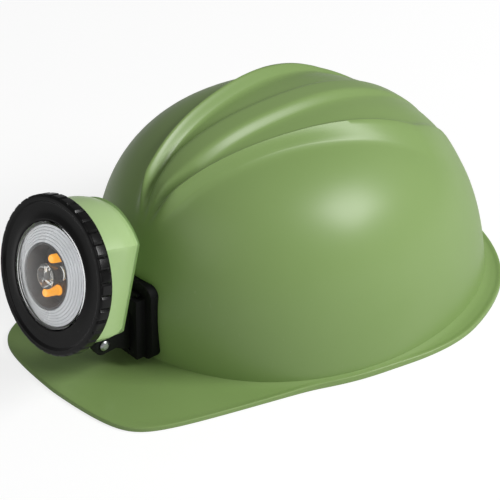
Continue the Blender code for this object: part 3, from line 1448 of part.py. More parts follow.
def band_distance(frame, half_width, heights):
    """Least distance from the wall to the headband's outer face, across a key's width."""
    to_local = frame.inverted()
    reaches = []
    for degree in range(360):
        outside = band_point(math.radians(degree), -BAND_THICKNESS / 2.0)
        for height in heights:
            local = to_local @ (outside + Vector((0.0, 0.0, height)))
            if abs(local.x) <= half_width + BAND_THICKNESS and local.y > 0.0:
                reaches.append(local.y)
    return min(reaches)


def build_keys(parent):
    """Four keys: each pushes up into a lug of the shell and carries band and strap."""
    black = key_black()
    slot_low = (LUG_DEPTH - TONGUE_SLOT) / 2.0
    under = -LUG_HEIGHT / 2.0 - GAP
    half = KEY_TONGUE_WIDTH / 2.0
    for number, angle in enumerate(KEY_ANGLES, start=1):
        frame = lug_frame(angle)
        heights = (BAND_BOTTOM, frame.translation.z + under)
        reach = band_distance(frame, half, heights) - 2.0 * GAP
        body = box((-half, slot_low + GAP, under - KEY_BODY_HEIGHT), (half, reach, under), frame)
        key = add_object("harness_key_%d" % number, body, black, parent)
        tongue = box((-half, slot_low + GAP, under - KEY_BODY_HEIGHT / 2.0),
                     (half, slot_low + TONGUE_SLOT - GAP, LUG_HEIGHT / 2.0 - SHELL_WALL - GAP), frame)
        apply_boolean(key, add_cutter("key_tongue_%d" % number, tongue, parent), "UNION")


def strap_end(frame):
    """Place in plan where a strap stands clear of its lug, which may lean either way."""
    inset = LUG_DEPTH + 2.0 * GAP + STRAP_THICKNESS / 2.0
    places = [frame @ Vector((0.0, inset, side * LUG_HEIGHT / 2.0)) for side in (-1.0, 1.0)]
    return min(places, key=lambda place: math.hypot(place.x, place.y))


def strap_path(start, end, crown):
    """Points of a strap's middle line: up off one key, over the head and down to the other."""
    base = LUG_CENTRE - LUG_HEIGHT / 2.0 + 3.0 * GAP
    path = []
    for step in range(STRAP_STEPS + 1):
        turn = math.pi * step / STRAP_STEPS
        along = -signed_power(math.cos(turn), 2.0 / STRAP_SQUARENESS)
        rise = math.sin(turn) ** (2.0 / STRAP_SQUARENESS)
        point = start.lerp(end, (along + 1.0) / 2.0)
        path.append(Vector((point.x, point.y, base + (crown - base) * rise)))
    return path


def strap_mesh(first_angle, second_angle, crown):
    """One strap as a thin strip that lies flat to each lug at its ends."""
    frames = [lug_frame(angle) for angle in (first_angle, second_angle)]
    start, end = [strap_end(frame) for frame in frames]
    direction = Vector((end.x - start.x, end.y - start.y, 0.0)).normalized()
    middle = Vector((-direction.y, direction.x, 0.0))
    sides = [frame.to_3x3() @ Vector((1.0, 0.0, 0.0)) for frame in frames]
    sides = [side if side.dot(middle) > 0.0 else -side for side in sides]
    path = strap_path(start, end, crown)
    top, under = [], []
    for index, point in enumerate(path):
        before, after = path[max(index - 1, 0)], path[min(index + 1, STRAP_STEPS)]
        share = index / STRAP_STEPS
        twist = abs(2.0 * share - 1.0) ** 2
        across = middle.lerp(sides[0 if share < 0.5 else 1], twist).normalized() * STRAP_WIDTH / 2.0
        normal = across.cross(after - before).normalized()
        if normal.dot(point - Vector((0.0, 0.0, BAND_BOTTOM))) < 0.0:
            normal = -normal
        offset = normal * STRAP_THICKNESS / 2.0
        top.append([point + offset - across, point + offset + across])
        under.append([point - offset - across, point - offset + across])
    return sheet(top, under)


def build_straps(parent):
    """Two crown straps, each from a front key to the rear key across from it."""
    webbing = strap_webbing()
    lower = strap_mesh(KEY_ANGLES[0], KEY_ANGLES[2], STRAP_CROWN)
    add_object("crown_strap_lower", lower, webbing, parent)
    upper = strap_mesh(KEY_ANGLES[3], KEY_ANGLES[1], STRAP_CROWN + STRAP_THICKNESS + 4.0 * GAP)
    add_object("crown_strap_upper", upper, webbing, parent)


# ================================================================ nape ratchet
def ratchet_height():
    return BAND_BOTTOM + BAND_HEIGHT / 2.0


def pitch_radius():
    return TOOTH_MODULE * PINION_TEETH / 2.0


def case_front():
    return RACK_PLACE - RACK_THICKNESS / 2.0 - 2.0 * GAP - CASE_WALL


def cover_front():
    return case_front() + CASE_DEPTH + GAP


def ratchet_knob_base():
    return cover_front() + COVER_THICKNESS + GAP


def pinion_ends():
    """Front and back of the pinion, which the detent spring shares."""
    return case_front() + CASE_WALL + GAP, RACK_PLACE + RACK_THICKNESS


def rack_band(side):
    """Lowest and highest place of one rack: the left one runs over the pinion, the right under."""
    tip = pitch_radius() - RACK_ADDENDUM * TOOTH_MODULE
    back = pitch_radius() + RACK_DEDENDUM * TOOTH_MODULE + RACK_HEIGHT
    if side > 0.0:
        return ratchet_height() + tip, ratchet_height() + back
    return ratchet_height() - back, ratchet_height() - tip


def build_rack(name, side, material, parent):
    """Toothed tail of the headband; side is 1 for the wearer's left."""
    pitch = math.pi * TOOTH_MODULE
    root = pitch_radius() + RACK_DEDENDUM * TOOTH_MODULE
    tip = pitch_radius() - RACK_ADDENDUM * TOOTH_MODULE
    wide = pitch * TOOTH_SHARE
    narrow = wide * TOOTH_TIP_SHARE
    outline = [(-RACK_INNER_END, root)]
    for tooth in range(int(-RACK_INNER_END / pitch) + 1, int(CASE_HALF_WIDTH / 2.0 / pitch)):
        centre = (tooth + 0.5) * pitch
        outline += [(centre - wide, root), (centre - narrow, tip),
                    (centre + narrow, tip), (centre + wide, root)]
    outline += [(RACK_OUTER_END, root), (RACK_OUTER_END, root + RACK_HEIGHT),
                (-RACK_INNER_END, root + RACK_HEIGHT)]
    placed = [(side * x, ratchet_height() + side * z) for x, z in outline]
    half = RACK_THICKNESS / 2.0
    rack = prism(placed, RACK_PLACE - half, RACK_PLACE + half, "Y")
    add_object(name, rack, material, parent)


def build_racks(parent):
    material = rack_black()
    build_rack("rack_left", 1.0, material, parent)
    build_rack("rack_right", -1.0, material, parent)


def gear_outline():
    """Outline of the pinion, with a tooth on the vertical line through its axis."""
    outer = pitch_radius() + PINION_ADDENDUM * TOOTH_MODULE
    inner = pitch_radius() - PINION_DEDENDUM * TOOTH_MODULE
    wide = 2.0 * math.pi / PINION_TEETH * TOOTH_SHARE
    narrow = wide * TOOTH_TIP_SHARE
    points = []
    for tooth in range(PINION_TEETH):
        centre = math.pi / 2.0 + 2.0 * math.pi * tooth / PINION_TEETH
        for offset, radius in ((-wide, inner), (-narrow, outer), (narrow, outer), (wide, inner)):
            points.append((radius * math.cos(centre + offset),
                           ratchet_height() + radius * math.sin(centre + offset)))
    return points


def ratchet_frame(x=0.0):
    """Frame at the ratchet's height whose Z runs back along +Y."""
    frame = Matrix.Rotation(-math.pi / 2.0, 4, "X")
    frame.translation = Vector((x, 0.0, ratchet_height()))
    return frame


def case_outline():
    low = ratchet_height() - CASE_HEIGHT / 2.0
    return rounded_rectangle(CASE_HALF_WIDTH, low, low + CASE_HEIGHT, CASE_CORNER)


def case_slots():
    """Openings at the case's ends for the two racks."""
    slots = bmesh.new()
    half = RACK_THICKNESS / 2.0 + GAP
    for side in (-1.0, 1.0):
        inner, outer = CASE_HALF_WIDTH - 2.0 * CASE_WALL, CASE_HALF_WIDTH + CASE_WALL
        ends = sorted((side * inner, side * outer))
        low, high = rack_band(side)
        merge_box(slots, (ends[0], RACK_PLACE - half, low - GAP),
                  (ends[1], RACK_PLACE + half, high + GAP))
    return slots


def case_columns(radius, start, end):
    """A round column at each case screw."""
    columns = bmesh.new()
    for side in (-1.0, 1.0):
        turned([(radius, start), (radius, end)], SEAT_SEGMENTS, mesh_maker=columns,
               frame=ratchet_frame(side * CASE_SCREW_X))
    return columns


def build_case(parent):
    """Front half of the ratchet's case, with a boss for each of its two screws."""
    front, back = case_front(), case_front() + CASE_DEPTH
    case = add_object("nape_case", prism(case_outline(), front, back, "Y"), case_black(), parent)
    half_width = CASE_HALF_WIDTH - CASE_WALL
    half_height = CASE_HEIGHT / 2.0 - CASE_WALL
    cavity = box((-half_width, front + CASE_WALL, ratchet_height() - half_height),
                 (half_width, back + CASE_WALL, ratchet_height() + half_height))
    apply_boolean(case, add_cutter("case_cavity", cavity, parent))
    bosses = case_columns(CASE_BOSS_RADIUS, front + CASE_WALL / 2.0, back - GAP)
    apply_boolean(case, add_cutter("case_bosses", bosses, parent), "UNION")
    bores = case_columns(CASE_SCREW_RADIUS + GAP, front + CASE_WALL, back + CASE_WALL)
    apply_boolean(case, add_cutter("case_bores", bores, parent))
    apply_boolean(case, add_cutter("case_slots", case_slots(), parent))


def build_cover(parent):
    """Back of the case, with holes for the pinion's shaft and the two screws."""
    front = cover_front()
    back = front + COVER_THICKNESS
    cover = add_object("nape_cover", prism(case_outline(), front, back, "Y"), cover_black(), parent)
    radius = RATCHET_SHAFT_RADIUS + GAP
    hole = turned([(radius, front - HOLE_OVERRUN), (radius, back + HOLE_OVERRUN)], SEAT_SEGMENTS,
                  frame=ratchet_frame())
    apply_boolean(cover, add_cutter("cover_hole", hole, parent))
    bores = case_columns(CASE_SCREW_RADIUS + GAP, front - HOLE_OVERRUN, back + HOLE_OVERRUN)
    apply_boolean(cover, add_cutter("cover_screw_holes", bores, parent))


def build_case_screws(parent):
    """Two screws through the cover into the case's bosses."""
    steel = case_screw_steel()
    seat = ratchet_knob_base()
    profile = [(CASE_SCREW_RADIUS, case_front() + CASE_WALL + GAP), (CASE_SCREW_RADIUS, seat),
               (CASE_SCREW_HEAD, seat), (CASE_SCREW_HEAD, seat + CASE_SCREW_EDGE),
               (CASE_SCREW_CROWN, seat + CASE_SCREW_HEAD_HEIGHT)]
    for side, name in ((-1.0, "nape_screw_right"), (1.0, "nape_screw_left")):
        screw = turned(profile, SCREW_SEGMENTS, frame=ratchet_frame(side * CASE_SCREW_X))
        add_object(name, screw, steel, parent)


def build_pinion(parent):
    """Pinion between the two racks, with its shaft out through the cover."""
    front, back = pinion_ends()
    gear = prism(gear_outline(), front, back, "Y")
    pinion = add_object("ratchet_pinion", gear, pinion_white(), parent)
    shaft = turned([(RATCHET_SHAFT_RADIUS, back - PINION_STEP),
                    (RATCHET_SHAFT_RADIUS, ratchet_knob_base() + RATCHET_KNOB_SOCKET)],
                   SEAT_SEGMENTS, frame=ratchet_frame())
    apply_boolean(pinion, add_cutter("pinion_shaft", shaft, parent), "UNION")


def build_ratchet_knob(parent):
    """Fluted knob pressed on the pinion's shaft."""
    frame, base = ratchet_frame(), ratchet_knob_base()
    top = base + RATCHET_KNOB_HEIGHT
    flutes = RATCHET_KNOB_FLUTES
    rings = [fluted_ring(RATCHET_KNOB_RADIUS, 0.0, flutes, base, frame),
             fluted_ring(RATCHET_KNOB_RADIUS, RATCHET_FLUTE_DEPTH, flutes,
                         base + RATCHET_KNOB_BASE, frame),
             fluted_ring(RATCHET_KNOB_RADIUS, RATCHET_FLUTE_DEPTH, flutes,
                         top - RATCHET_KNOB_SHOULDER, frame),
             fluted_ring(RATCHET_KNOB_CROWN, 0.0, flutes, top, frame)]
    knob = add_object("ratchet_knob", loft(rings), ratchet_knob_black(), parent)
    radius = RATCHET_SHAFT_RADIUS + GAP
    socket = turned([(radius, base - RATCHET_KNOB_BASE), (radius, base + RATCHET_KNOB_SOCKET + GAP)],
                    SEAT_SEGMENTS, frame=frame)
    apply_boolean(knob, add_cutter("ratchet_knob_socket", socket, parent))


def build_detent_spring(parent):
    """Bowed leaf spring between the pinion's teeth and a screw boss."""
    start = pitch_radius() + TOOTH_MODULE + GAP
    half = SPRING_THICKNESS / 2.0
    line = [(start, 0.0), (start + SPRING_LENGTH * SPRING_BEND, SPRING_BOW),
            (start + SPRING_LENGTH * (1.0 - SPRING_BEND), SPRING_BOW), (start + SPRING_LENGTH, 0.0)]
    outline = [(x, ratchet_height() + z + half) for x, z in line]
    outline += [(x, ratchet_height() + z - half) for x, z in reversed(line)]
    front, back = pinion_ends()
    add_object("detent_spring", prism(outline, front, back, "Y"), spring_steel(), parent)


# ================================================================ whole object
CAP_BUILDERS = (build_shell, build_bracket, build_bracket_screws, build_clip, build_tilt_pin,
                build_friction_washers, build_headband, build_sweatband, build_keys, build_straps,
                build_case, build_cover, build_case_screws, build_racks, build_pinion,
                build_ratchet_knob, build_detent_spring)
LAMP_BUILDERS = (build_housing, build_bezel, build_lens, build_gasket, build_reflector,
                 build_led_well, build_led_board, build_heat_sink, build_main_led,
                 build_main_optic, build_amber_leds, build_battery_tray, build_battery,
                 build_control_board, build_charge_contacts, build_switch_body,
                 build_switch_seal, build_switch_shaft, build_switch_knob)


def front_reach():
    """How far the bezel's lower edge stands out in front of the dome's axis."""
    return LAMP_FORWARD + BEZEL_RADIUS * math.sin(LAMP_TILT)


def main():
    for old in list(bpy.data.objects):
        bpy.data.objects.remove(old, do_unlink=True)
    root = add_empty("cap_frame", (0.0, (front_reach() - rim_radius(math.pi)) / 2.0, 0.0))
    for build in CAP_BUILDERS:
        build(root)
    lamp = add_empty("lamp_frame", (0.0, -LAMP_FORWARD, LAMP_HEIGHT), root,
                     (math.pi / 2.0 - LAMP_TILT, 0.0, 0.0))
    for build in LAMP_BUILDERS:
        build(lamp)


main()
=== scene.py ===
"""Looks of the miner's cap with its cordless cap lamp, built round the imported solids.

Everything is in metres: +Z is up, the cap and the lamp face -Y, and the wearer's left is +X.
The sections follow the cap as it is put together: shell, bracket, clip, lamp, harness, studio.
"""

import itertools
import math

import bmesh
import bpy
from mathutils import Matrix, Vector


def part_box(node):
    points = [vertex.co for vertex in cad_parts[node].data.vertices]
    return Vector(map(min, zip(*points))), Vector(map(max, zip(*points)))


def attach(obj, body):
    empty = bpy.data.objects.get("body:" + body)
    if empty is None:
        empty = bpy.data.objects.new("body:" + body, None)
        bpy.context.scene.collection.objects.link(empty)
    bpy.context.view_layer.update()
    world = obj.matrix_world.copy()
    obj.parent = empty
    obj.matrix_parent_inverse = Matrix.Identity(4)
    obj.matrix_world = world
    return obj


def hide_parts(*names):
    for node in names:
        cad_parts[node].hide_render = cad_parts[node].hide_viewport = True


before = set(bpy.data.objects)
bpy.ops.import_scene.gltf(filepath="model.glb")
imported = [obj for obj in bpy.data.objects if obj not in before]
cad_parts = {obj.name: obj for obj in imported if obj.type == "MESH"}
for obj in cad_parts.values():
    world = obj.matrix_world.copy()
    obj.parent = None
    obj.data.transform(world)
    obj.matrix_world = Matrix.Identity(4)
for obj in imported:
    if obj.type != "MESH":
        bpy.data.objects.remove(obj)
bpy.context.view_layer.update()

# ---------------------------------------------------------------- cap shell
# One moulding in satin green plastic with a wall of 2.4 millimetres. Three ridges stiffen the
# crown, a wide peak sheds water in front, and a low bead runs round the whole rim.
MM = 0.001
DOME_HALF_WIDTH = 100.5 * MM
DOME_FRONT = 114.2 * MM
DOME_REAR = 122.5 * MM
DOME_TOP = 121.3 * MM
DOME_SQUARENESS = 2.56
APEX_FORWARD = 14.6 * MM
SHELL_WALL = 2.4 * MM
SHELL_STATIONS = 144
SIDE_COLUMNS = 26
CROWN_SHARE = 0.7

RIM_HEIGHT = 2.7 * MM
RIM_ROUND = 0.9 * MM
RIM_UNDER_ROUND = 0.4 * MM
RIM_BEAD_HEIGHT = 0.5 * MM
RIM_BEAD_START = 1.4 * MM
RIM_BEAD_END = 3.4 * MM
BRIM_SLOPE = 0.03
BRIM_STEPS = 10
BRIM_CROWDING = 1.4
UNDERSIDE_STEP = 0.7 * SHELL_WALL
INNER_FOOT_CORNER = 0.6 * SHELL_WALL
FOOT_FILLET = 1.8 * MM
FOOT_FILLET_REACH = 4.0 * MM
PEAK_REACH = 171.8 * MM
PEAK_FRONT_RADIUS = 800.0 * MM
PEAK_SIDE_OFFSET = 101.8 * MM
PEAK_TAPER = math.radians(12.5)
PEAK_SIDE_LEAN = math.radians(80.0)
PEAK_CORNER = 29.3 * MM
PEAK_BLEND_START = math.radians(64.5)
PEAK_BLEND_END = math.radians(98.7)
SIDE_BRIM = 2.6 * MM
BRIM_BLEND = 2.0 * MM
REAR_BRIM = 10.7 * MM
REAR_BRIM_START = math.radians(77.0)
REAR_BRIM_FULL = math.radians(116.6)
NAPE_CUT = 7.5 * MM
NAPE_CUT_START = math.radians(135.0)
NAPE_CUT_FULL = math.radians(178.0)

SIDE_RIDGE_HEIGHT = 9.0 * MM
SIDE_RIDGE_ROOT = -110.2 * MM
SIDE_RIDGE_LIMIT = 49.0 * MM
SIDE_RIDGE_SPREAD = 113.0 * MM
SIDE_RIDGE_STEEP = 3.0 * MM
SIDE_RIDGE_SLOPE = 5.7 * MM
SIDE_RIDGE_WIDENING = 15.1 * MM
WIDENING_START = -40.0 * MM
WIDENING_FULL = 90.0 * MM
CENTRE_RIDGE_HEIGHT = 4.9 * MM
CENTRE_RIDGE_TOP = 6.8 * MM
CENTRE_RIDGE_SLOPE = 4.5 * MM
CENTRE_SHARE = 0.85
CENTRE_TOP_SHARE = 0.55
RIDGE_START = -106.2 * MM
RIDGE_FULL = -88.5 * MM
RIDGE_FADE = -21.0 * MM
RIDGE_END = 122.8 * MM
CREASE_ROUND = 1.3 * MM
CREASE_SHARES = (0.0, 0.12, 0.3, 0.5, 0.7, 0.88)
CREASE_OFFSETS = (-1.0, -0.5, 0.0, 0.5, 1.0)
INNER_RIDGE_SHIFT = 0.6 * SHELL_WALL
SCUFF_COLOUR = (0.75, 0.76, 0.72, 1.0)
SCUFF_ROUGHNESS = 0.4
GRAIN_DEPTH = 0.1 * MM


def smoothstep(start, end, value):
    """0 before start, 1 after end, with an S curve between them."""
    share = min(max((value - start) / (end - start), 0.0), 1.0)
    return share * share * (3.0 - 2.0 * share)


def smooth_min(first, second, blend):
    """The smaller of two lengths, with their corner rounded over about the blend length."""
    return (first + second - math.hypot(first - second, blend)) / 2.0


def foot_radius(plan_angle):
    """Distance in plan from the dome's axis to the foot of the dome; angle 0 is the front."""
    length = DOME_FRONT if math.cos(plan_angle) > 0.0 else DOME_REAR
    return 1.0 / math.hypot(math.sin(plan_angle) / DOME_HALF_WIDTH,
                            math.cos(plan_angle) / length)


def rim_radius(plan_angle):
    """Distance in plan from the dome's axis to the outer edge of the brim or peak."""
    turn = abs(math.atan2(math.sin(plan_angle), math.cos(plan_angle)))
    brim = foot_radius(turn) + SIDE_BRIM
    brim += (REAR_BRIM - SIDE_BRIM) * smoothstep(REAR_BRIM_START, REAR_BRIM_FULL, turn)
    brim -= NAPE_CUT * smoothstep(NAPE_CUT_START, NAPE_CUT_FULL, turn)
    centre = PEAK_FRONT_RADIUS - PEAK_REACH
    along = centre * math.cos(turn)
    front = math.sqrt(along * along + PEAK_FRONT_RADIUS ** 2 - centre ** 2) - along
    lean = min(abs(math.pi / 2.0 - turn - PEAK_TAPER), PEAK_SIDE_LEAN)
    peak = smooth_min(front, PEAK_SIDE_OFFSET / math.cos(lean), PEAK_CORNER)
    share = smoothstep(PEAK_BLEND_START, PEAK_BLEND_END, turn)
    least = foot_radius(turn) + SIDE_BRIM
    return -smooth_min(-(1.0 - share) * peak - share * brim, -least, BRIM_BLEND)


def foot_height(plan_angle):
    """Height at which the dome leaves the brim."""
    return RIM_HEIGHT + BRIM_SLOPE * (rim_radius(plan_angle) - foot_radius(plan_angle)) + FOOT_FILLET


def dome_length(turn):
    return DOME_FRONT if math.cos(turn) > 0.0 else DOME_REAR


def plan_angle_at(turn):
    return math.atan2(DOME_HALF_WIDTH * math.sin(turn), dome_length(turn) * math.cos(turn))


def ridge_creases(y, inside):
    """Crease lines across the crown at a place along it: (distance from the middle, height)."""
    run = max(y - SIDE_RIDGE_ROOT, 0.0)
    inner_foot = SIDE_RIDGE_LIMIT * (1.0 - math.exp(-run / SIDE_RIDGE_SPREAD))
    slope = SIDE_RIDGE_SLOPE + SIDE_RIDGE_WIDENING * smoothstep(WIDENING_START, WIDENING_FULL, y)
    crest = inner_foot + SIDE_RIDGE_STEEP
    fade = smoothstep(RIDGE_START, RIDGE_FULL, y) * (1.0 - smoothstep(RIDGE_FADE, RIDGE_END, y))
    centre_foot = min(CENTRE_RIDGE_TOP + CENTRE_RIDGE_SLOPE, inner_foot * CENTRE_SHARE)
    centre_top = min(CENTRE_RIDGE_TOP, centre_foot * CENTRE_TOP_SHARE)
    inset = INNER_RIDGE_SHIFT * fade if inside else 0.0
    return [(0.0, CENTRE_RIDGE_HEIGHT * fade), (centre_top, CENTRE_RIDGE_HEIGHT * fade),
            (centre_foot, 0.0), (inner_foot + inset, 0.0),
            (crest + inset, SIDE_RIDGE_HEIGHT * fade), (crest + slope, 0.0)]


def ridge_lift(reach, creases):
    """Height of the ridges above the plain dome, with every crease rounded over."""
    total = 0.0
    for offset in CREASE_OFFSETS:
        place = abs(reach + CREASE_ROUND * offset)
        for (near, low), (far, high) in zip(creases, creases[1:]):
            if near <= place < far:
                total += low + (high - low) * (place - near) / (far - near)
    return total / len(CREASE_OFFSETS)


def crown_point(turn, reach, lift):
    """Point on the dome's cross-section at a turn, at a reach beside the middle plane."""
    length = dome_length(turn)
    base = foot_height(plan_angle_at(turn))
    height = DOME_TOP - base
    around = math.hypot(reach / DOME_HALF_WIDTH, math.cos(turn))
    share = max(1.0 - around ** DOME_SQUARENESS, 0.0) ** (1.0 / DOME_SQUARENESS)
    station = -length * math.cos(turn)
    point = Vector((reach, station - APEX_FORWARD * share, base + height * share))
    normal = Vector((around ** (DOME_SQUARENESS - 2.0) * reach / DOME_HALF_WIDTH ** 2,
                     around ** (DOME_SQUARENESS - 2.0) * station / length ** 2,
                     share ** (DOME_SQUARENESS - 1.0) / height))
    return point + normal.normalized() * lift


def crown_section(turn, inside):
    """Half of one cross-section of the dome, from the middle plane down to its foot."""
    top = (1.0 - abs(math.cos(turn)) ** DOME_SQUARENESS) ** (1.0 / DOME_SQUARENESS)
    half_width = DOME_HALF_WIDTH * math.sin(turn)
    creases = ridge_creases(-dome_length(turn) * math.cos(turn) - APEX_FORWARD * top, inside)
    edge = creases[-1][0]
    shrink = min(1.0, CROWN_SHARE * half_width / edge) if edge > 0.0 else 1.0
    drop = SHELL_WALL if inside else 0.0
    points = []
    for (near, _), (far, _) in zip(creases, creases[1:]):
        for share in CREASE_SHARES:
            reach = near + (far - near) * share
            points.append(crown_point(turn, reach * shrink, ridge_lift(reach, creases) - drop))
    for step in range(SIDE_COLUMNS):
        share = math.sin(math.pi / 2.0 * step / SIDE_COLUMNS)
        reach = edge * shrink + (half_width - edge * shrink) * share
        lift = ridge_lift(edge, creases) if step == 0 else 0.0
        points.append(crown_point(turn, reach, lift - drop))
    return points


def brim_profile(plan_angle):
    """Section of the brim: (reach, height) from the dome's outer foot round to its inner foot."""
    rim, foot = rim_radius(plan_angle), foot_radius(plan_angle)

    def top(reach):
        fillet = FOOT_FILLET * math.exp(-(reach - foot) / FOOT_FILLET_REACH)
        groove = smoothstep(RIM_BEAD_START, RIM_BEAD_END, rim - reach)
        groove *= smoothstep(0.0, RIM_BEAD_END, reach - foot)
        return RIM_HEIGHT + BRIM_SLOPE * (rim - reach) + fillet - RIM_BEAD_HEIGHT * groove

    shares = [1.0 - (1.0 - step / BRIM_STEPS) ** BRIM_CROWDING for step in range(BRIM_STEPS + 1)]
    shares = [(shares[step] + step / BRIM_STEPS) / 2.0 for step in range(BRIM_STEPS + 1)]
    outer = [foot + (rim - RIM_ROUND - foot) * share for share in shares]
    profile = [(reach, top(reach)) for reach in outer]
    edge_top = profile[-1][1] - RIM_ROUND
    turns = [math.radians(angle) for angle in (67.5, 45.0, 22.5, 0.0)]
    profile += [(rim - RIM_ROUND * (1.0 - math.cos(turn)), edge_top + RIM_ROUND * math.sin(turn))
                for turn in turns]
    profile += [(rim - RIM_UNDER_ROUND * (1.0 - math.cos(turn)),
                 RIM_UNDER_ROUND * (1.0 - math.sin(turn))) for turn in reversed(turns)]
    profile += [(rim - UNDERSIDE_STEP, 0.0)]
    under = [foot + (rim - SHELL_WALL - foot) * (1.0 - share) for share in shares]
    profile += [(reach, top(reach) - SHELL_WALL) for reach in under]
    return profile + [(foot - INNER_FOOT_CORNER, foot_height(plan_angle) - INNER_FOOT_CORNER),
                      (foot - SHELL_WALL, foot_height(plan_angle))]


SHELL_PLACE = Vector((0.0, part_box("shell")[1].y - rim_radius(math.pi), 0.0))


def join_rows(mesh_maker, first, second, closed=False):
    """Quads between two rows of vertices with equal counts."""
    count = len(first) if closed else len(first) - 1
    for index in range(count):
        after = (index + 1) % len(first)
        mesh_maker.faces.new((first[index], first[after], second[after], second[index]))


def add_dome(mesh_maker, foot, turns, inside):
    """One face of the dome, from its foot ring up over the crown."""
    sections = []
    for station in range(1, SHELL_STATIONS):
        half = crown_section(turns[station], inside)
        left = [mesh_maker.verts.new(point + SHELL_PLACE) for point in half]
        right = [mesh_maker.verts.new(Vector((-point.x, point.y, point.z)) + SHELL_PLACE)
                 for point in half[1:]]
        sections.append([foot[-station]] + right[::-1] + left + [foot[station]])
    for first, second in zip(sections, sections[1:]):
        join_rows(mesh_maker, first, second)
    for pole, section in ((foot[0], sections[0]), (foot[SHELL_STATIONS], sections[-1])):
        for near, far in zip(section, section[1:]):
            mesh_maker.faces.new((pole, near, far))


def add_object(name, data):
    """Adds an object with its mesh, light or camera to the scene."""
    added = bpy.data.objects.new(name, data)
    bpy.context.scene.collection.objects.link(added)
    return added


def written(name, mesh_maker):
    """Writes a bmesh into a new mesh, with its faces turned outward."""
    mesh_maker.normal_update()
    bmesh.ops.recalc_face_normals(mesh_maker, faces=mesh_maker.faces)
    mesh = bpy.data.meshes.new(name)
    mesh_maker.to_mesh(mesh)
    mesh_maker.free()
    return mesh


def new_piece(name, mesh_maker, material, body, replaced=(), smooth_angle=35.0):
    """Turns a bmesh into a shown piece that rides on a body and stands for some solids."""
    piece = add_object(name, written(name, mesh_maker))
    piece.data.materials.append(material)
    piece.data.shade_smooth()
    piece.data.set_sharp_from_angle(angle=math.radians(smooth_angle))
    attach(piece, body)
    if replaced:
        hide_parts(*replaced)
    return piece


def put_node(tree, kind, inputs=None, **settings):
    """Adds a node, sets its options, and fills its inputs with values or with other sockets."""
    node = tree.nodes.new(kind)
    for name, value in settings.items():
        setattr(node, name, value)
    for key, value in (inputs or {}).items():
        if isinstance(value, bpy.types.NodeSocket):
            tree.links.new(value, node.inputs[key])
        else:
            node.inputs[key].default_value = value
    return node


def maths(tree, operation, *values):
    """Result of a maths node on plain numbers and other sockets."""
    return put_node(tree, "ShaderNodeMath", dict(enumerate(values)), operation=operation).outputs[0]


def mapped(tree, value, old_low, old_high, low=0.0, high=1.0, curve="LINEAR"):
    """A value moved from one range to another, and held inside the new one."""
    return put_node(tree, "ShaderNodeMapRange", {
        "Value": value, "From Min": old_low, "From Max": old_high, "To Min": low, "To Max": high},
        interpolation_type=curve).outputs[0]


def noise(tree, place, scale, detail, roughness=0.5):
    return put_node(tree, "ShaderNodeTexNoise", {"Vector": place, "Scale": scale, "Detail": detail,
                                                 "Roughness": roughness}).outputs["Fac"]


def blended(tree, share, first, second):
    """A colour between two colours."""
    return put_node(tree, "ShaderNodeMix", {"Factor": share, "A": first, "B": second},
                    data_type="RGBA").outputs["Result"]


def new_group(name, kind, inputs, outputs):
    """A node group with named sockets; returns the tree and its input and output nodes."""
    tree = bpy.data.node_groups.new(name, kind)
    for label, socket, value in inputs:
        made = tree.interface.new_socket(label, in_out="INPUT", socket_type=socket)
        if value is not None:
            made.default_value = value
    for label, socket in outputs:
        tree.interface.new_socket(label, in_out="OUTPUT", socket_type=socket)
    return tree, tree.nodes.new("NodeGroupInput"), tree.nodes.new("NodeGroupOutput")


def moulded_surface_group():
    """Colour, roughness and relief of moulded plastic: slow mottle, fine grain and light scuffs."""
    tree, given, result = new_group(
        "moulded_surface", "ShaderNodeTree",
        [("Colour", "NodeSocketColor", (0.5, 0.5, 0.5, 1.0)),
         ("Mottle Colour", "NodeSocketColor", (0.4, 0.4, 0.4, 1.0)),
         ("Mottle Scale", "NodeSocketFloat", 18.0), ("Grain Scale", "NodeSocketFloat", 900.0),
         ("Scuff Scale", "NodeSocketFloat", 60.0), ("Scuffs", "NodeSocketFloat", 0.3),
         ("Roughness", "NodeSocketFloat", 0.4), ("Spread", "NodeSocketFloat", 0.08)],
        [("Colour", "NodeSocketColor"), ("Roughness", "NodeSocketFloat"),
         ("Relief", "NodeSocketFloat")])
    place = put_node(tree, "ShaderNodeTexCoord").outputs["Object"]
    mottle = noise(tree, place, given.outputs["Mottle Scale"], 3.0, 0.55)
    share = mapped(tree, mottle, 0.35, 0.65, curve="SMOOTHSTEP")
    stretched = put_node(tree, "ShaderNodeMapping", {"Vector": place, "Rotation": (0.5, 0.9, 0.3),
                                                     "Scale": (1.0, 14.0, 3.0)})
    streaks = noise(tree, stretched.outputs["Vector"], given.outputs["Scuff Scale"], 4.0, 0.7)
    marks = maths(tree, "MULTIPLY", mapped(tree, streaks, 0.66, 0.74), mapped(tree, mottle, 0.5, 0.62))
    scuffs = maths(tree, "MULTIPLY", marks, given.outputs["Scuffs"])
    base = blended(tree, share, given.outputs["Colour"], given.outputs["Mottle Colour"])
    centred = maths(tree, "SUBTRACT", share, 0.5)
    spread = maths(tree, "MULTIPLY_ADD", centred, given.outputs["Spread"], given.outputs["Roughness"])
    rough = maths(tree, "MULTIPLY_ADD", scuffs, SCUFF_ROUGHNESS, spread)
    tree.links.new(blended(tree, scuffs, base, SCUFF_COLOUR), result.inputs["Colour"])
    tree.links.new(rough, result.inputs["Roughness"])
    tree.links.new(noise(tree, place, given.outputs["Grain Scale"], 2.0), result.inputs["Relief"])
    return tree


MOULDED_SURFACE = moulded_surface_group()


def new_material(name, **settings):
    """A material whose Principled shader has plain values set on its own sockets."""
    material = bpy.data.materials.new(name)
    material.use_nodes = True
    shader = material.node_tree.nodes["Principled BSDF"]
    for label, value in settings.items():
        shader.inputs[label.replace("_", " ")].default_value = value
    return material, material.node_tree, shader


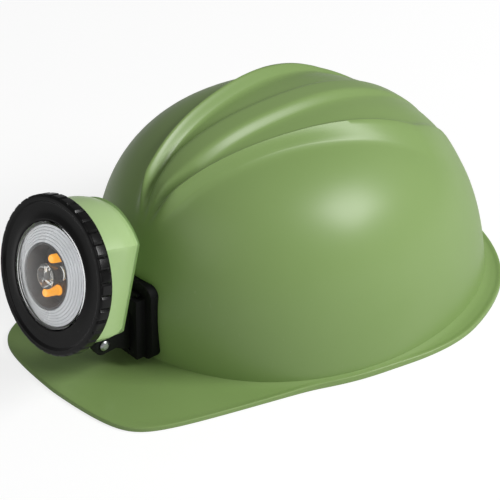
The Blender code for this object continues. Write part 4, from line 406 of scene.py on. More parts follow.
def add_bump(tree, shader, height, strength, distance):
    bump = put_node(tree, "ShaderNodeBump", {"Height": height, "Strength": strength, "Distance": distance})
    tree.links.new(bump.outputs["Normal"], shader.inputs["Normal"])


def moulded_plastic(name, colour, mottle, roughness, spread=0.08, mottle_scale=18.0, grain_scale=900.0,
                    grain=0.1, scuffs=0.3, scuff_scale=60.0, **settings):
    """Moulded plastic in one colour with a second one mottled through it."""
    material, tree, shader = new_material(name, **settings)
    surface = put_node(tree, "ShaderNodeGroup", node_tree=MOULDED_SURFACE)
    for label, value in (("Colour", (*colour, 1.0)), ("Mottle Colour", (*mottle, 1.0)),
                         ("Mottle Scale", mottle_scale), ("Grain Scale", grain_scale),
                         ("Scuff Scale", scuff_scale), ("Scuffs", scuffs),
                         ("Roughness", roughness), ("Spread", spread)):
        surface.inputs[label].default_value = value
    tree.links.new(surface.outputs["Colour"], shader.inputs["Base Color"])
    tree.links.new(surface.outputs["Roughness"], shader.inputs["Roughness"])
    add_bump(tree, shader, surface.outputs["Relief"], grain, GRAIN_DEPTH)
    return material


SHELL_GREEN = moulded_plastic("shell_green", (0.25, 0.37, 0.128), (0.236, 0.357, 0.116), 0.36,
                              mottle_scale=9.0, grain_scale=700.0, grain=0.06, scuffs=0.12,
                              Specular_IOR_Level=0.4)


def shell_mesh():
    """Outer face, rim and inner face of the cap as one closed skin."""
    mesh_maker = bmesh.new()
    turns = [math.pi * step / SHELL_STATIONS for step in range(2 * SHELL_STATIONS)]
    columns = []
    for turn in turns:
        plan_angle = plan_angle_at(turn)
        across, forward = math.sin(plan_angle), -math.cos(plan_angle)
        columns.append([mesh_maker.verts.new(Vector((reach * across, reach * forward, height)) + SHELL_PLACE)
                        for reach, height in brim_profile(plan_angle)])
    for index, column in enumerate(columns):
        join_rows(mesh_maker, column, columns[(index + 1) % len(columns)])
    add_dome(mesh_maker, [column[0] for column in columns], turns, inside=False)
    add_dome(mesh_maker, [column[-1] for column in columns], turns, inside=True)
    return mesh_maker


new_piece("cap_shell", shell_mesh(), SHELL_GREEN, "cap", ["shell"], 50.0)

# ---------------------------------------------------------------- harness lugs
# Four sleeves moulded inside the shell, in the same green plastic. Each is open below, so that a
# harness key pushes up into it.
KEY_ANGLES = (42.0, 124.0, -124.0, -42.0)
LUG_CENTRE = 19.0 * MM
LUG_HALF_HEIGHT = 9.0 * MM
LUG_HALF_WIDTH = 13.0 * MM
LUG_DEPTH = 6.5 * MM
LUG_BITE = 1.0 * MM
LUG_ROUND = 0.8 * MM
SLOT_HALF_WIDTH = 9.3 * MM
SLOT_DEPTH = 3.4 * MM
MERGE_DISTANCE = 0.002 * MM
HALVINGS = 40


def plain_dome(turn, rise):
    """Point of the plain dome at a turn round it and a rise up it."""
    base = foot_height(plan_angle_at(turn))
    across = math.cos(rise) ** (2.0 / DOME_SQUARENESS)
    up = math.sin(rise) ** (2.0 / DOME_SQUARENESS)
    return Vector((DOME_HALF_WIDTH * across * math.sin(turn),
                   -dome_length(turn) * across * math.cos(turn) - APEX_FORWARD * up,
                   base + (DOME_TOP - base) * up))


def wall_frame(turn, height):
    """Frame on the inner wall: X along the wall, Y into the cap, Z up the wall."""
    low, high = 0.0, math.pi / 2.0
    for _ in range(HALVINGS):
        middle = (low + high) / 2.0
        low, high = (middle, high) if plain_dome(turn, middle).z < height else (low, middle)
    step = math.radians(1.0)
    point = plain_dome(turn, low)
    up = (plain_dome(turn, low + step) - plain_dome(turn, low - step)).normalized()
    along = plain_dome(turn + step, low) - plain_dome(turn - step, low)
    along = (along - up * along.dot(up)).normalized()
    inward = up.cross(along).normalized()
    if inward.dot(Vector((0.0, 0.0, height)) - point) < 0.0:
        inward, along = -inward, -along
    placed = Matrix((along, inward, up)).transposed().to_4x4()
    placed.translation = point + inward * SHELL_WALL + SHELL_PLACE
    return placed


def add_box(mesh_maker, low, high, placed=None):
    """Adds a box between two corners, in the given frame."""
    low, high = Vector(low), Vector(high)
    matrix = Matrix.Translation((low + high) / 2.0) @ Matrix.Diagonal((*(high - low), 1.0))
    bmesh.ops.create_cube(mesh_maker, size=1.0, matrix=placed @ matrix if placed else matrix)
    return mesh_maker


def temporary(mesh_maker):
    """A helper object round a bmesh, for a modifier to work on."""
    return add_object("helper", written("helper", mesh_maker))


def finished(helper):
    """The helper's mesh with its modifiers worked in; the helper itself goes."""
    evaluated = helper.evaluated_get(bpy.context.evaluated_depsgraph_get())
    mesh = bpy.data.meshes.new_from_object(evaluated)
    bpy.data.objects.remove(helper, do_unlink=True)
    return mesh


def loaded(mesh):
    """A bmesh with a copy of a mesh in it."""
    mesh_maker = bmesh.new()
    mesh_maker.from_mesh(mesh)
    return mesh_maker


def combined(first, steps):
    """Joins bmeshes to the first one, or cuts them out of it, in the order given."""
    helper = temporary(first)
    others = []
    for operation, mesh_maker in steps:
        other = temporary(mesh_maker)
        modifier = helper.modifiers.new(operation, "BOOLEAN")
        modifier.operation = operation
        modifier.solver = "EXACT"
        modifier.object = other
        others.append(other)
    mesh = finished(helper)
    for other in others:
        bpy.data.objects.remove(other, do_unlink=True)
    return loaded(mesh)


def soften(mesh_maker, width, segments=2, least_angle=30.0):
    """Cleans flat faces up and rounds every edge that is sharper than the angle."""
    bmesh.ops.remove_doubles(mesh_maker, verts=mesh_maker.verts, dist=MERGE_DISTANCE)
    bmesh.ops.dissolve_limit(mesh_maker, angle_limit=math.radians(1.0), verts=mesh_maker.verts,
                             edges=mesh_maker.edges)
    edges = [edge for edge in mesh_maker.edges
             if edge.is_manifold and edge.calc_face_angle(0.0) > math.radians(least_angle)]
    bmesh.ops.bevel(mesh_maker, geom=edges, offset=width, segments=segments, profile=0.5,
                    affect="EDGES", clamp_overlap=True)
    return mesh_maker


def soft_copy(node, width, segments=2, least_angle=30.0):
    """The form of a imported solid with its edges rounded."""
    return soften(loaded(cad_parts[node].data), width, segments, least_angle)


def lug_mesh():
    lugs = bmesh.new()
    slots = bmesh.new()
    slot_low = (LUG_DEPTH - SLOT_DEPTH) / 2.0
    for angle in KEY_ANGLES:
        placed = wall_frame(math.radians(angle), LUG_CENTRE)
        add_box(lugs, (-LUG_HALF_WIDTH, -LUG_BITE, -LUG_HALF_HEIGHT),
                (LUG_HALF_WIDTH, LUG_DEPTH, LUG_HALF_HEIGHT), placed)
        add_box(slots, (-SLOT_HALF_WIDTH, slot_low, -2.0 * LUG_HALF_HEIGHT),
                (SLOT_HALF_WIDTH, slot_low + SLOT_DEPTH, LUG_HALF_HEIGHT - SHELL_WALL), placed)
    return soften(combined(lugs, [("DIFFERENCE", slots)]), LUG_ROUND / 2.0)


new_piece("shell_lugs", lug_mesh(), SHELL_GREEN, "cap")

# ---------------------------------------------------------------- lamp bracket
# Plate and rails moulded in one piece of matt black nylon. Four screws from inside the cap hold
# the plate, and its back follows the dome.
BRACKET_HALF_WIDTH = 22.0 * MM
BRACKET_BOTTOM = 8.5 * MM
BRACKET_TOP = 56.0 * MM
BRACKET_CORNER = 6.5 * MM
BRACKET_COLUMNS = 64
BRACKET_ROWS = 16
BRACKET_FACE = -118.3948 * MM
BRACKET_GAP = 0.3 * MM
TONGUE_HALF_WIDTH = 13.0 * MM
RAIL_THICKNESS = 3.0 * MM
RAIL_LIP = 2.8 * MM
RAIL_FRONT = 6.2 * MM
RAIL_BOTTOM = 13.0 * MM
RAIL_TOP = 48.0 * MM
LEDGE_BOTTOM = 10.0 * MM
BRACKET_EDGE = 0.45 * MM
RAIL_BITE = 1.0 * MM
CORNER_SHARE = 0.985
SCREW_OFFSET = 18.8 * MM
SCREW_HEIGHTS = (18.0 * MM, 44.0 * MM)
BLACK = (0.0025, 0.0025, 0.003)
WORN_BLACK = (0.006, 0.006, 0.0065)


def dome_front_y(x, z):
    """Outer face of the plain dome in front of the wearer, at a place across and up it."""
    base = foot_height(0.0)
    up = max((z - base) / (DOME_TOP - base), 0.0)
    across = (1.0 - up ** DOME_SQUARENESS) ** (1.0 / DOME_SQUARENESS)
    inside = 1.0 - (x / (DOME_HALF_WIDTH * across)) ** 2
    return -DOME_FRONT * across * math.sqrt(inside) - APEX_FORWARD * up


def closed_sheet(front, back):
    """A closed solid between two grids of points with the same rows and columns."""
    mesh_maker = bmesh.new()
    grids = [[[mesh_maker.verts.new(point) for point in row] for row in grid] for grid in (front, back)]
    for grid in grids:
        for first, second in zip(grid, grid[1:]):
            join_rows(mesh_maker, first, second)
    rows, columns = len(front), len(front[0])
    border = [(0, column) for column in range(columns)]
    border += [(row, columns - 1) for row in range(1, rows)]
    border += [(rows - 1, column) for column in range(columns - 2, -1, -1)]
    border += [(row, 0) for row in range(rows - 2, 0, -1)]
    loops = [[grid[row][column] for row, column in border] for grid in grids]
    join_rows(mesh_maker, loops[0], loops[1], closed=True)
    return mesh_maker


def prism(outline, low, high, axis):
    """Extrudes a flat outline between two heights along X, Y or Z."""
    place = {"X": lambda a, b, h: (h, a, b), "Y": lambda a, b, h: (a, h, b),
             "Z": lambda a, b, h: (a, b, h)}[axis]
    mesh_maker = bmesh.new()
    rings = [[mesh_maker.verts.new(place(a, b, height)) for a, b in outline] for height in (low, high)]
    join_rows(mesh_maker, rings[0], rings[1], closed=True)
    for ring in rings:
        mesh_maker.faces.new(ring)
    return mesh_maker


def bracket_mesh():
    front, back = [], []
    for column in range(BRACKET_COLUMNS + 1):
        x = -BRACKET_HALF_WIDTH * math.cos(math.pi * column / BRACKET_COLUMNS)
        over = min(max(abs(x) - BRACKET_HALF_WIDTH + BRACKET_CORNER, 0.0), BRACKET_CORNER * CORNER_SHARE)
        cut = BRACKET_CORNER - math.sqrt(BRACKET_CORNER ** 2 - over ** 2)
        low, high = BRACKET_BOTTOM + cut, BRACKET_TOP - cut
        heights = [low + (high - low) * row / BRACKET_ROWS for row in range(BRACKET_ROWS + 1)]
        front.append([Vector((x, BRACKET_FACE, height)) + SHELL_PLACE for height in heights])
        back.append([Vector((x, dome_front_y(x, height) - BRACKET_GAP, height)) + SHELL_PLACE
                     for height in heights])
    face = BRACKET_FACE + SHELL_PLACE.y
    root, tip = face + RAIL_BITE, face - RAIL_FRONT
    reach = TONGUE_HALF_WIDTH + BRACKET_GAP + RAIL_THICKNESS
    steps = []
    for side in (-1.0, 1.0):
        outer, inner = side * reach, side * (TONGUE_HALF_WIDTH + BRACKET_GAP)
        lip = side * (TONGUE_HALF_WIDTH - RAIL_LIP)
        outline = [(outer, root), (outer, tip), (lip, tip), (lip, tip + RAIL_THICKNESS),
                   (inner, tip + RAIL_THICKNESS), (inner, root)]
        steps.append(("UNION", prism(outline, RAIL_BOTTOM, RAIL_TOP, "Z")))
    ledge = add_box(bmesh.new(), (-reach, tip, LEDGE_BOTTOM), (reach, root, RAIL_BOTTOM))
    steps.append(("UNION", ledge))
    return soften(combined(closed_sheet(front, back), steps), BRACKET_EDGE, 2, 50.0)


MATT_BLACK = moulded_plastic("matt_black", BLACK, WORN_BLACK, 0.62, scuffs=0.05, grain=0.25,
                             grain_scale=1600.0, Specular_IOR_Level=0.15)
new_piece("bracket_plate", bracket_mesh(), MATT_BLACK, "cap", ["lamp_bracket"])

# ---------------------------------------------------------------- screws
# Zinc-plated steel screws with a cross recess. Four hold the bracket, from inside the cap, and
# end short of its face. Two smaller ones, further down, hold the cover of the nape case.
SCREW_FACETS = 28
RECESS_DEPTH = 1.0 * MM
RECESS_LENGTH = 2.6 * MM
RECESS_WIDTH = 0.7 * MM
TIP_COVER = 1.6 * MM
BRACKET_SCREW = {"shank": 1.5 * MM, "head": 3.2 * MM, "crown": 2.2 * MM, "head_height": 1.8 * MM}
FACING_BACK = (-math.pi / 2.0, 0.0, 0.0)


def turned_mesh(profile, segments):
    """Turns a profile of (radius, height) points about Z, and closes both ends flat."""
    mesh_maker = bmesh.new()
    rings = []
    for radius, height in profile:
        turns = [2.0 * math.pi * step / segments for step in range(segments)]
        rings.append([mesh_maker.verts.new((radius * math.cos(turn), radius * math.sin(turn), height))
                      for turn in turns])
    for first, second in zip(rings, rings[1:]):
        join_rows(mesh_maker, first, second, closed=True)
    for ring in (rings[0], rings[-1]):
        mesh_maker.faces.new(ring)
    return mesh_maker


def screw_helper(shank, head, crown, length, head_height):
    """One screw along Z with its head's seat at 0 and its shank on the minus side."""
    profile = [(shank * 0.6, -length), (shank, -length + shank * 0.5), (shank, 0.0), (head, 0.0),
               (head, head_height * 0.35), (head * 0.95, head_height * 0.6),
               (crown, head_height * 0.92), (crown * 0.5, head_height)]
    cuts = []
    for half_x, half_y in ((RECESS_LENGTH, RECESS_WIDTH), (RECESS_WIDTH, RECESS_LENGTH)):
        low = (-half_x / 2.0, -half_y / 2.0, head_height - RECESS_DEPTH)
        high = (half_x / 2.0, half_y / 2.0, head_height + RECESS_DEPTH)
        cuts.append(("DIFFERENCE", add_box(bmesh.new(), low, high)))
    return temporary(combined(turned_mesh(profile, SCREW_FACETS), cuts))


def row_tree():
    """Geometry nodes: an object at every point, all turned alike and each spun by chance."""
    tree, given, result = new_group(
        "row_of_pieces", "GeometryNodeTree",
        [("Geometry", "NodeSocketGeometry", None), ("Piece", "NodeSocketObject", None),
         ("Turn", "NodeSocketVector", (0.0, 0.0, 0.0)), ("Spin", "NodeSocketFloat", 0.0),
         ("Seed", "NodeSocketInt", 3), ("Material", "NodeSocketMaterial", None)],
        [("Geometry", "NodeSocketGeometry")])
    piece = put_node(tree, "GeometryNodeObjectInfo", {"Object": given.outputs["Piece"]})
    spin = put_node(tree, "FunctionNodeRandomValue", {"Max": given.outputs["Spin"],
                                                      "Seed": given.outputs["Seed"]})
    placed = put_node(tree, "GeometryNodeInstanceOnPoints", {
        "Points": given.outputs["Geometry"], "Instance": piece.outputs["Geometry"],
        "Rotation": given.outputs["Turn"]})
    around = put_node(tree, "ShaderNodeCombineXYZ", {"Z": spin.outputs[1]})
    spun = put_node(tree, "GeometryNodeRotateInstances", {"Instances": placed.outputs["Instances"],
                                                          "Rotation": around.outputs["Vector"]})
    real = put_node(tree, "GeometryNodeRealizeInstances", {"Geometry": spun.outputs["Instances"]})
    coated = put_node(tree, "GeometryNodeSetMaterial", {"Geometry": real.outputs["Geometry"],
                                                        "Material": given.outputs["Material"]})
    tree.links.new(coated.outputs["Geometry"], result.inputs["Geometry"])
    return tree


def run_tree(tree, source, settings):
    """Runs a geometry tree on a bmesh and gives back what it makes, as a bmesh."""
    helper = temporary(source)
    modifier = helper.modifiers.new("form", "NODES")
    modifier.node_group = tree
    for item in tree.interface.items_tree:
        if item.in_out == "INPUT" and item.name in settings:
            modifier[item.identifier] = settings[item.name]
    mesh = finished(helper)
    mesh.materials.clear()
    return loaded(mesh)


def point_cloud(places):
    mesh_maker = bmesh.new()
    for place in places:
        mesh_maker.verts.new(place)
    return mesh_maker


ROW_OF_PIECES = row_tree()
PLATED_STEEL = moulded_plastic("plated_steel", (0.55, 0.56, 0.58), (0.47, 0.48, 0.5), 0.32, scuffs=0.5,
                               mottle_scale=120.0, grain=0.15, Metallic=1.0)


def put_screws(name, screw, seats, seed, replaced):
    """A row of screws with their heads to the back, each turned by its own random angle."""
    row = run_tree(ROW_OF_PIECES, point_cloud(seats), {
        "Piece": screw, "Turn": FACING_BACK, "Spin": math.pi / 2.0, "Seed": seed, "Material": PLATED_STEEL})
    bpy.data.objects.remove(screw, do_unlink=True)
    new_piece(name, row, PLATED_STEEL, "cap", replaced)


seats = [Vector((side * SCREW_OFFSET, dome_front_y(side * SCREW_OFFSET, height) + SHELL_WALL, height))
         + SHELL_PLACE for height in SCREW_HEIGHTS for side in (-1.0, 1.0)]
shank_length = min(seat.y for seat in seats) - SHELL_PLACE.y - BRACKET_FACE - TIP_COVER
put_screws("bracket_screws", screw_helper(length=shank_length, **BRACKET_SCREW), seats, 3,
           ["bracket_screw_%d" % number for number in (1, 2, 3, 4)])

# ---------------------------------------------------------------- lamp clip and hinge
# Black nylon clip whose tongue slides down between the rails. Its fork carries the lamp's lug on a
# steel pin between two pale friction washers.
CLIP_BLACK = moulded_plastic("clip_black", BLACK, WORN_BLACK, 0.5, scuffs=0.1, grain=0.2,
                             grain_scale=1500.0, Specular_IOR_Level=0.2)
NYLON = moulded_plastic("washer_nylon", (0.72, 0.69, 0.62), (0.66, 0.62, 0.54), 0.5, scuffs=0.2,
                        Subsurface_Weight=0.1)
new_piece("clip_body", soft_copy("lamp_clip", 0.5 * MM, 3), CLIP_BLACK, "clip",
          ["lamp_clip"])
new_piece("hinge_pin", soft_copy("tilt_pin", 0.25 * MM), PLATED_STEEL, "clip", ["tilt_pin"])
for name in ("friction_washer_left", "friction_washer_right"):
    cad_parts[name].material_slots[0].material = NYLON

# ---------------------------------------------------------------- lamp housing
# Bowl of light green plastic with flat sides, a lug below for the hinge pin, and holes for the
# switch shaft and the charging studs. A rounded ledge marks where the flats begin.
LAMP_FORWARD = 169.8 * MM
LAMP_HEIGHT = 77.0 * MM
LAMP_LEAN = math.radians(13.5)
LAMP_PLACE = (Matrix.Translation(SHELL_PLACE + Vector((0.0, -LAMP_FORWARD, LAMP_HEIGHT)))
              @ Matrix.Rotation(math.pi / 2.0 - LAMP_LEAN, 4, "X"))
HOUSING_RADIUS = 40.4 * MM
HOUSING_DEPTH = 34.6 * MM
HOUSING_REAR = 38.2 * MM
HOUSING_WALL = 2.6 * MM
HOUSING_FLAT = 30.0 * MM
HOUSING_FRONT = 6.0 * MM
LEDGE_DEPTH = 9.6 * MM
TAPER_START = 24.0 * MM
HOUSING_SEGMENTS = 160
PIVOT_DROP = 44.5 * MM
PIVOT_BACK = 38.5 * MM
KNUCKLE_RADIUS = 6.2 * MM
KNUCKLE_START = 78.0
KNUCKLE_END = 282.0
KNUCKLE_HALF_WIDTH = 4.2 * MM
PIN_HOLE = 2.2 * MM
SHAFT_HOLE = 2.3 * MM
STUD_HOLE = 2.2 * MM
BACK_EDGE = 3.4 * MM
BACK_INSET = 3.8 * MM
BACK_ROUND = 2.0 * MM
KNEE_INSET = 1.6 * MM
KNEE_ROUND = 2.6 * MM
TAPER_ROUND = 3.0 * MM
LEDGE_SLOPE = 0.3 * MM
HINGE_BITE_BACK = 1.2 * MM
HINGE_BITE_SIDE = 1.6 * MM
HINGE_START = 3.0 * MM
FRONT_CHAMFER = 0.4 * MM
HOLE_REACH = 30.0 * MM
SHAFT_HOLE_RANGE = (24.0 * MM, 33.0 * MM)
STUD_HOLE_REACH = 5.0 * MM
KNUCKLE_STEPS = 24
CORNER_LIMIT = 0.48
POINT_MERGE = 0.0005 * MM
SWITCH_PLACE = (14.0 * MM, -21.5 * MM)
STUD_PLACES = [(side * 7.0 * MM, 24.5 * MM) for side in (-1.0, 1.0)]


def rounded(corners, steps=4, closed=False):
    """A polyline through (a, b, round) corners with each corner drawn as a short curve."""
    points = []
    count = len(corners)
    for place, (across, up, size) in enumerate(corners):
        corner = Vector((across, up))
        ends = not closed and place in (0, count - 1)
        if size <= 0.0 or ends:
            points.append((across, up))
            continue
        before = Vector(corners[place - 1][:2]) - corner
        after = Vector(corners[(place + 1) % count][:2]) - corner
        first = corner + before.normalized() * min(size, before.length * CORNER_LIMIT)
        last = corner + after.normalized() * min(size, after.length * CORNER_LIMIT)
        for step in range(steps + 1):
            share = step / steps
            point = (first * (1.0 - share) ** 2 + corner * 2.0 * share * (1.0 - share)
                     + last * share ** 2)
            points.append((point.x, point.y))
    return points


def turned_tree():
    """Geometry nodes: a profile turned about Z, with grooves cut where the profile asks for them.

    The profile's points hold radius, groove weight and height as X, Y and Z.
    """
    tree, given, result = new_group(
        "turned_form", "GeometryNodeTree",
        [("Geometry", "NodeSocketGeometry", None), ("Segments", "NodeSocketInt", 96),
         ("Profile Points", "NodeSocketInt", 8), ("Grooves", "NodeSocketFloat", 0.0),
         ("Groove Depth", "NodeSocketFloat", 0.0), ("Groove Share", "NodeSocketFloat", 0.2),
         ("Groove Slope", "NodeSocketFloat", 0.05), ("Material", "NodeSocketMaterial", None)],
        [("Geometry", "NodeSocketGeometry")])
    rows = maths(tree, "ADD", given.outputs["Segments"], 1.0)
    grid = put_node(tree, "GeometryNodeMeshGrid", {"Vertices X": given.outputs["Profile Points"],
                                                   "Vertices Y": rows})
    index = put_node(tree, "GeometryNodeInputIndex").outputs[0]
    column = maths(tree, "FLOOR", maths(tree, "DIVIDE", maths(tree, "ADD", index, 0.5), rows))
    row = maths(tree, "SUBTRACT", index, maths(tree, "MULTIPLY", column, rows))
    share = maths(tree, "DIVIDE", row, given.outputs["Segments"])
    place = put_node(tree, "GeometryNodeInputPosition").outputs[0]
    sample = put_node(tree, "GeometryNodeSampleIndex", {"Geometry": given.outputs["Geometry"],
                                                        "Index": column},
                      data_type="FLOAT_VECTOR", domain="POINT")
    tree.links.new(place, sample.inputs["Value"])
    profile = put_node(tree, "ShaderNodeSeparateXYZ", {0: sample.outputs[0]})
    beat = maths(tree, "FRACT", maths(tree, "MULTIPLY", share, given.outputs["Grooves"]))
    off = maths(tree, "ABSOLUTE", maths(tree, "SUBTRACT", beat, 0.5))
    start = maths(tree, "SUBTRACT", 0.5, maths(tree, "DIVIDE", given.outputs["Groove Share"], 2.0))
    foot = maths(tree, "SUBTRACT", start, given.outputs["Groove Slope"])
    depth = maths(tree, "MULTIPLY", profile.outputs["Y"], given.outputs["Groove Depth"])
    groove = maths(tree, "MULTIPLY", mapped(tree, off, foot, start, curve="SMOOTHSTEP"), depth)
    radius = maths(tree, "SUBTRACT", profile.outputs["X"], groove)
    turn = maths(tree, "MULTIPLY", share, 2.0 * math.pi)
    moved = put_node(tree, "ShaderNodeCombineXYZ", {
        "X": maths(tree, "MULTIPLY", radius, maths(tree, "COSINE", turn)),
        "Y": maths(tree, "MULTIPLY", radius, maths(tree, "SINE", turn)), "Z": profile.outputs["Z"]})
    formed = put_node(tree, "GeometryNodeSetPosition", {"Geometry": grid.outputs["Mesh"],
                                                        "Position": moved.outputs[0]})
    merged = put_node(tree, "GeometryNodeMergeByDistance", {"Geometry": formed.outputs[0],
                                                            "Distance": POINT_MERGE})
    real = put_node(tree, "GeometryNodeRealizeInstances", {"Geometry": merged.outputs[0]})
    coated = put_node(tree, "GeometryNodeSetMaterial", {"Geometry": real.outputs["Geometry"],
                                                        "Material": given.outputs["Material"]})
    tree.links.new(coated.outputs["Geometry"], result.inputs["Geometry"])
    return tree


TURNED_FORM = turned_tree()


def turned(profile, material, place=LAMP_PLACE, closed=False, weights=None, segments=96, **settings):
    """Runs the turned form on a profile of (radius, height) points, and moves it into place."""
    points = list(profile) + ([profile[0]] if closed else [])
    weights = list(weights or [0.0] * len(profile))
    weights += weights[:1] if closed else []
    line = point_cloud([(radius, weight, height)
                        for (radius, height), weight in zip(points, weights)])
    values = {"Profile Points": len(points), "Material": material, "Segments": segments}
    values.update((label.replace("_", " "), value) for label, value in settings.items())
    mesh_maker = run_tree(TURNED_FORM, line, values)
    mesh_maker.transform(place)
    return mesh_maker


def rod(radius, low, high, place, segments=32):
    """A plain cylinder along Z, moved into place, for cutting holes."""
    mesh_maker = turned_mesh([(radius, low), (radius, high)], segments)
    mesh_maker.transform(place)
    return mesh_maker


def flatted_ring(radius, flat, depth):
    """One ring of the housing: a circle whose two sides are cut flat."""
    ring = []
    for step in range(HOUSING_SEGMENTS):
        turn = 2.0 * math.pi * step / HOUSING_SEGMENTS
        ring.append(Vector((min(max(radius * math.sin(turn), -flat), flat),
                            radius * math.cos(turn), -depth)))
    return ring


def lofted(rings):
    """A closed skin over rings of points."""
    mesh_maker = bmesh.new()
    loops = [[mesh_maker.verts.new(point) for point in ring] for ring in rings]
    for first, second in zip(loops, loops[1:]):
        join_rows(mesh_maker, first, second, closed=True)
    mesh_maker.faces.new(loops[0])
    mesh_maker.faces.new(loops[-1])
    return mesh_maker


def housing_mesh():
    """Walls of the lamp body, inside and out, with its hinge lug and its holes."""
    outline = rounded([(0.0, HOUSING_DEPTH, 0.0), (BACK_INSET, HOUSING_DEPTH, BACK_ROUND),
                       (KNEE_INSET, HOUSING_DEPTH - BACK_EDGE, KNEE_ROUND),
                       (0.0, TAPER_START, TAPER_ROUND), (0.0, LEDGE_DEPTH, 0.0)], 6)
    inside, flat = HOUSING_RADIUS - HOUSING_WALL, HOUSING_FLAT - HOUSING_WALL
    inner_ledge = LEDGE_DEPTH + HOUSING_WALL
    rings = [(HOUSING_RADIUS - inset, HOUSING_FLAT - inset, depth) for inset, depth in outline[1:]]
    rings += [(HOUSING_RADIUS, HOUSING_RADIUS, LEDGE_DEPTH),
              (HOUSING_RADIUS, HOUSING_RADIUS, HOUSING_FRONT + FRONT_CHAMFER),
              (HOUSING_RADIUS - FRONT_CHAMFER, HOUSING_RADIUS, HOUSING_FRONT),
              (inside, inside, HOUSING_FRONT), (inside, inside, inner_ledge),
              (inside, flat, inner_ledge + LEDGE_SLOPE), (inside, flat, TAPER_START),
              (inside - KNEE_INSET, flat, HOUSING_DEPTH - HOUSING_WALL)]
    outline = [(-HOUSING_REAR + HINGE_BITE_BACK, -HOUSING_DEPTH + BACK_EDGE),
               (-HOUSING_RADIUS + HINGE_BITE_SIDE, -TAPER_START + HINGE_START)]
    for step in range(KNUCKLE_STEPS + 1):
        angle = math.radians(KNUCKLE_START + (KNUCKLE_END - KNUCKLE_START) * step / KNUCKLE_STEPS)
        outline.append((-PIVOT_DROP + KNUCKLE_RADIUS * math.cos(angle),
                        -PIVOT_BACK + KNUCKLE_RADIUS * math.sin(angle)))
    lug = prism(outline, -KNUCKLE_HALF_WIDTH, KNUCKLE_HALF_WIDTH, "X")
    sideways = Matrix.Rotation(math.pi / 2.0, 4, "Y")
    pin_place = Matrix.Translation((0.0, -PIVOT_DROP, -PIVOT_BACK)) @ sideways
    shaft_place = Matrix.Translation((0.0, *SWITCH_PLACE)) @ sideways.inverted()
    holes = [rod(PIN_HOLE, -HOLE_REACH, HOLE_REACH, pin_place),
             rod(SHAFT_HOLE, *SHAFT_HOLE_RANGE, shaft_place)]
    holes += [rod(STUD_HOLE, -STUD_HOLE_REACH, STUD_HOLE_REACH, Matrix.Translation((x, y, -HOUSING_DEPTH)))
              for x, y in STUD_PLACES]
    body = combined(lofted([flatted_ring(*ring) for ring in rings]),
                    [("UNION", lug)] + [("DIFFERENCE", hole) for hole in holes])
    bmesh.ops.remove_doubles(body, verts=body.verts, dist=MERGE_DISTANCE)
    body.transform(LAMP_PLACE)
    return body


HOUSING_GREEN = moulded_plastic("housing_green", (0.455, 0.635, 0.29), (0.43, 0.61, 0.27), 0.3,
                                scuffs=0.25, grain=0.06, Coat_Weight=0.25, Coat_Roughness=0.15)
new_piece("lamp_body", housing_mesh(), HOUSING_GREEN, "lamp", ["lamp_housing"], 28.0)

# ---------------------------------------------------------------- bezel ring
# Glossy black ring with thirty-eight blocks round it to grip. It turns on the housing, clamps the
# lens flange and has a dished face with a rear skirt.
BEZEL_TEETH = 38
BEZEL_SEGMENTS = 12 * BEZEL_TEETH
# Each corner, in mm: radius, height, size of its rounding, and share of the grooves' depth.
BEZEL_CORNERS = [
    (30.0, -2.2, 0.15, 0.0), (30.0, 0.0, 0.4, 0.0), (31.0, 0.5, 0.5, 0.0),
    (34.6, -0.5, 2.0, 0.0), (40.2, -0.6, 0.7, 0.0), (41.2, 0.5, 0.4, 0.0), (43.3, 0.5, 0.5, 0.0),
    (44.6, -0.3, 0.5, 1.0), (44.6, -6.3, 0.4, 1.0), (43.7, -6.6, 0.2, 0.0), (43.6, -7.7, 0.4, 0.0),
    (41.0, -7.7, 0.2, 0.0), (41.0, -2.2, 0.15, 0.0)]


def grooved_profile(corners, steps, closed=False):
    """Rounds corners like those above; gives the points and each one's share of the grooves."""
    points = [tuple(value * MM for value in corner[:3]) for corner in corners]
    profile, shares = [], []
    for place, (radius, height, _) in enumerate(points):
        if not closed and place in (0, len(points) - 1):
            curve = [(radius, height)]
        else:
            near = [points[place - 1], points[place], points[(place + 1) % len(points)]]
            curve = rounded(near, steps)[1:-1]
        profile += curve
        shares += [corners[place][3]] * len(curve)
    return profile, shares


BEZEL_BLACK = moulded_plastic("bezel_black", (0.0012, 0.0012, 0.0014), (0.003, 0.0028, 0.0028), 0.22,
                              scuffs=0.25, scuff_scale=40.0, grain=0.04, Specular_IOR_Level=0.3)
section, shares = grooved_profile(BEZEL_CORNERS, 4, closed=True)
bezel = turned(section, BEZEL_BLACK, closed=True, weights=shares, segments=BEZEL_SEGMENTS,
               Grooves=float(BEZEL_TEETH), Groove_Depth=0.9 * MM, Groove_Share=0.12, Groove_Slope=0.05)
new_piece("bezel_grip", bezel, BEZEL_BLACK, "bezel", ["bezel_ring"], 30.0)

# ---------------------------------------------------------------- lens and its seal
# Clear moulded polycarbonate, domed, with a thin flange round it. The bezel presses the flange
# towards a black rubber ring, which keeps dust and water out of the lamp.
LENS_FRONT = 6.8 * MM
LENS_WALL = 1.7 * MM
LENS_RADIUS = 29.7 * MM
LENS_EDGE = 0.6 * MM
LENS_INSIDE = 28.0 * MM
LENS_INSIDE_EDGE = -1.1 * MM
FLANGE_RADIUS = 38.4 * MM
FLANGE_FRONT = -2.5 * MM
FLANGE_BACK = -4.2 * MM
SEAL_INSIDE = 36.7 * MM
SEAL_FRONT = -4.5 * MM
SEAL_BACK = -5.4 * MM


def domed(radius, edge, crown, steps=14):
    """Points of a domed face from its edge to its crown."""
    shares = [1.0 - step / steps for step in range(steps + 1)]
    return [(radius * share, crown - (crown - edge) * share * share) for share in shares]


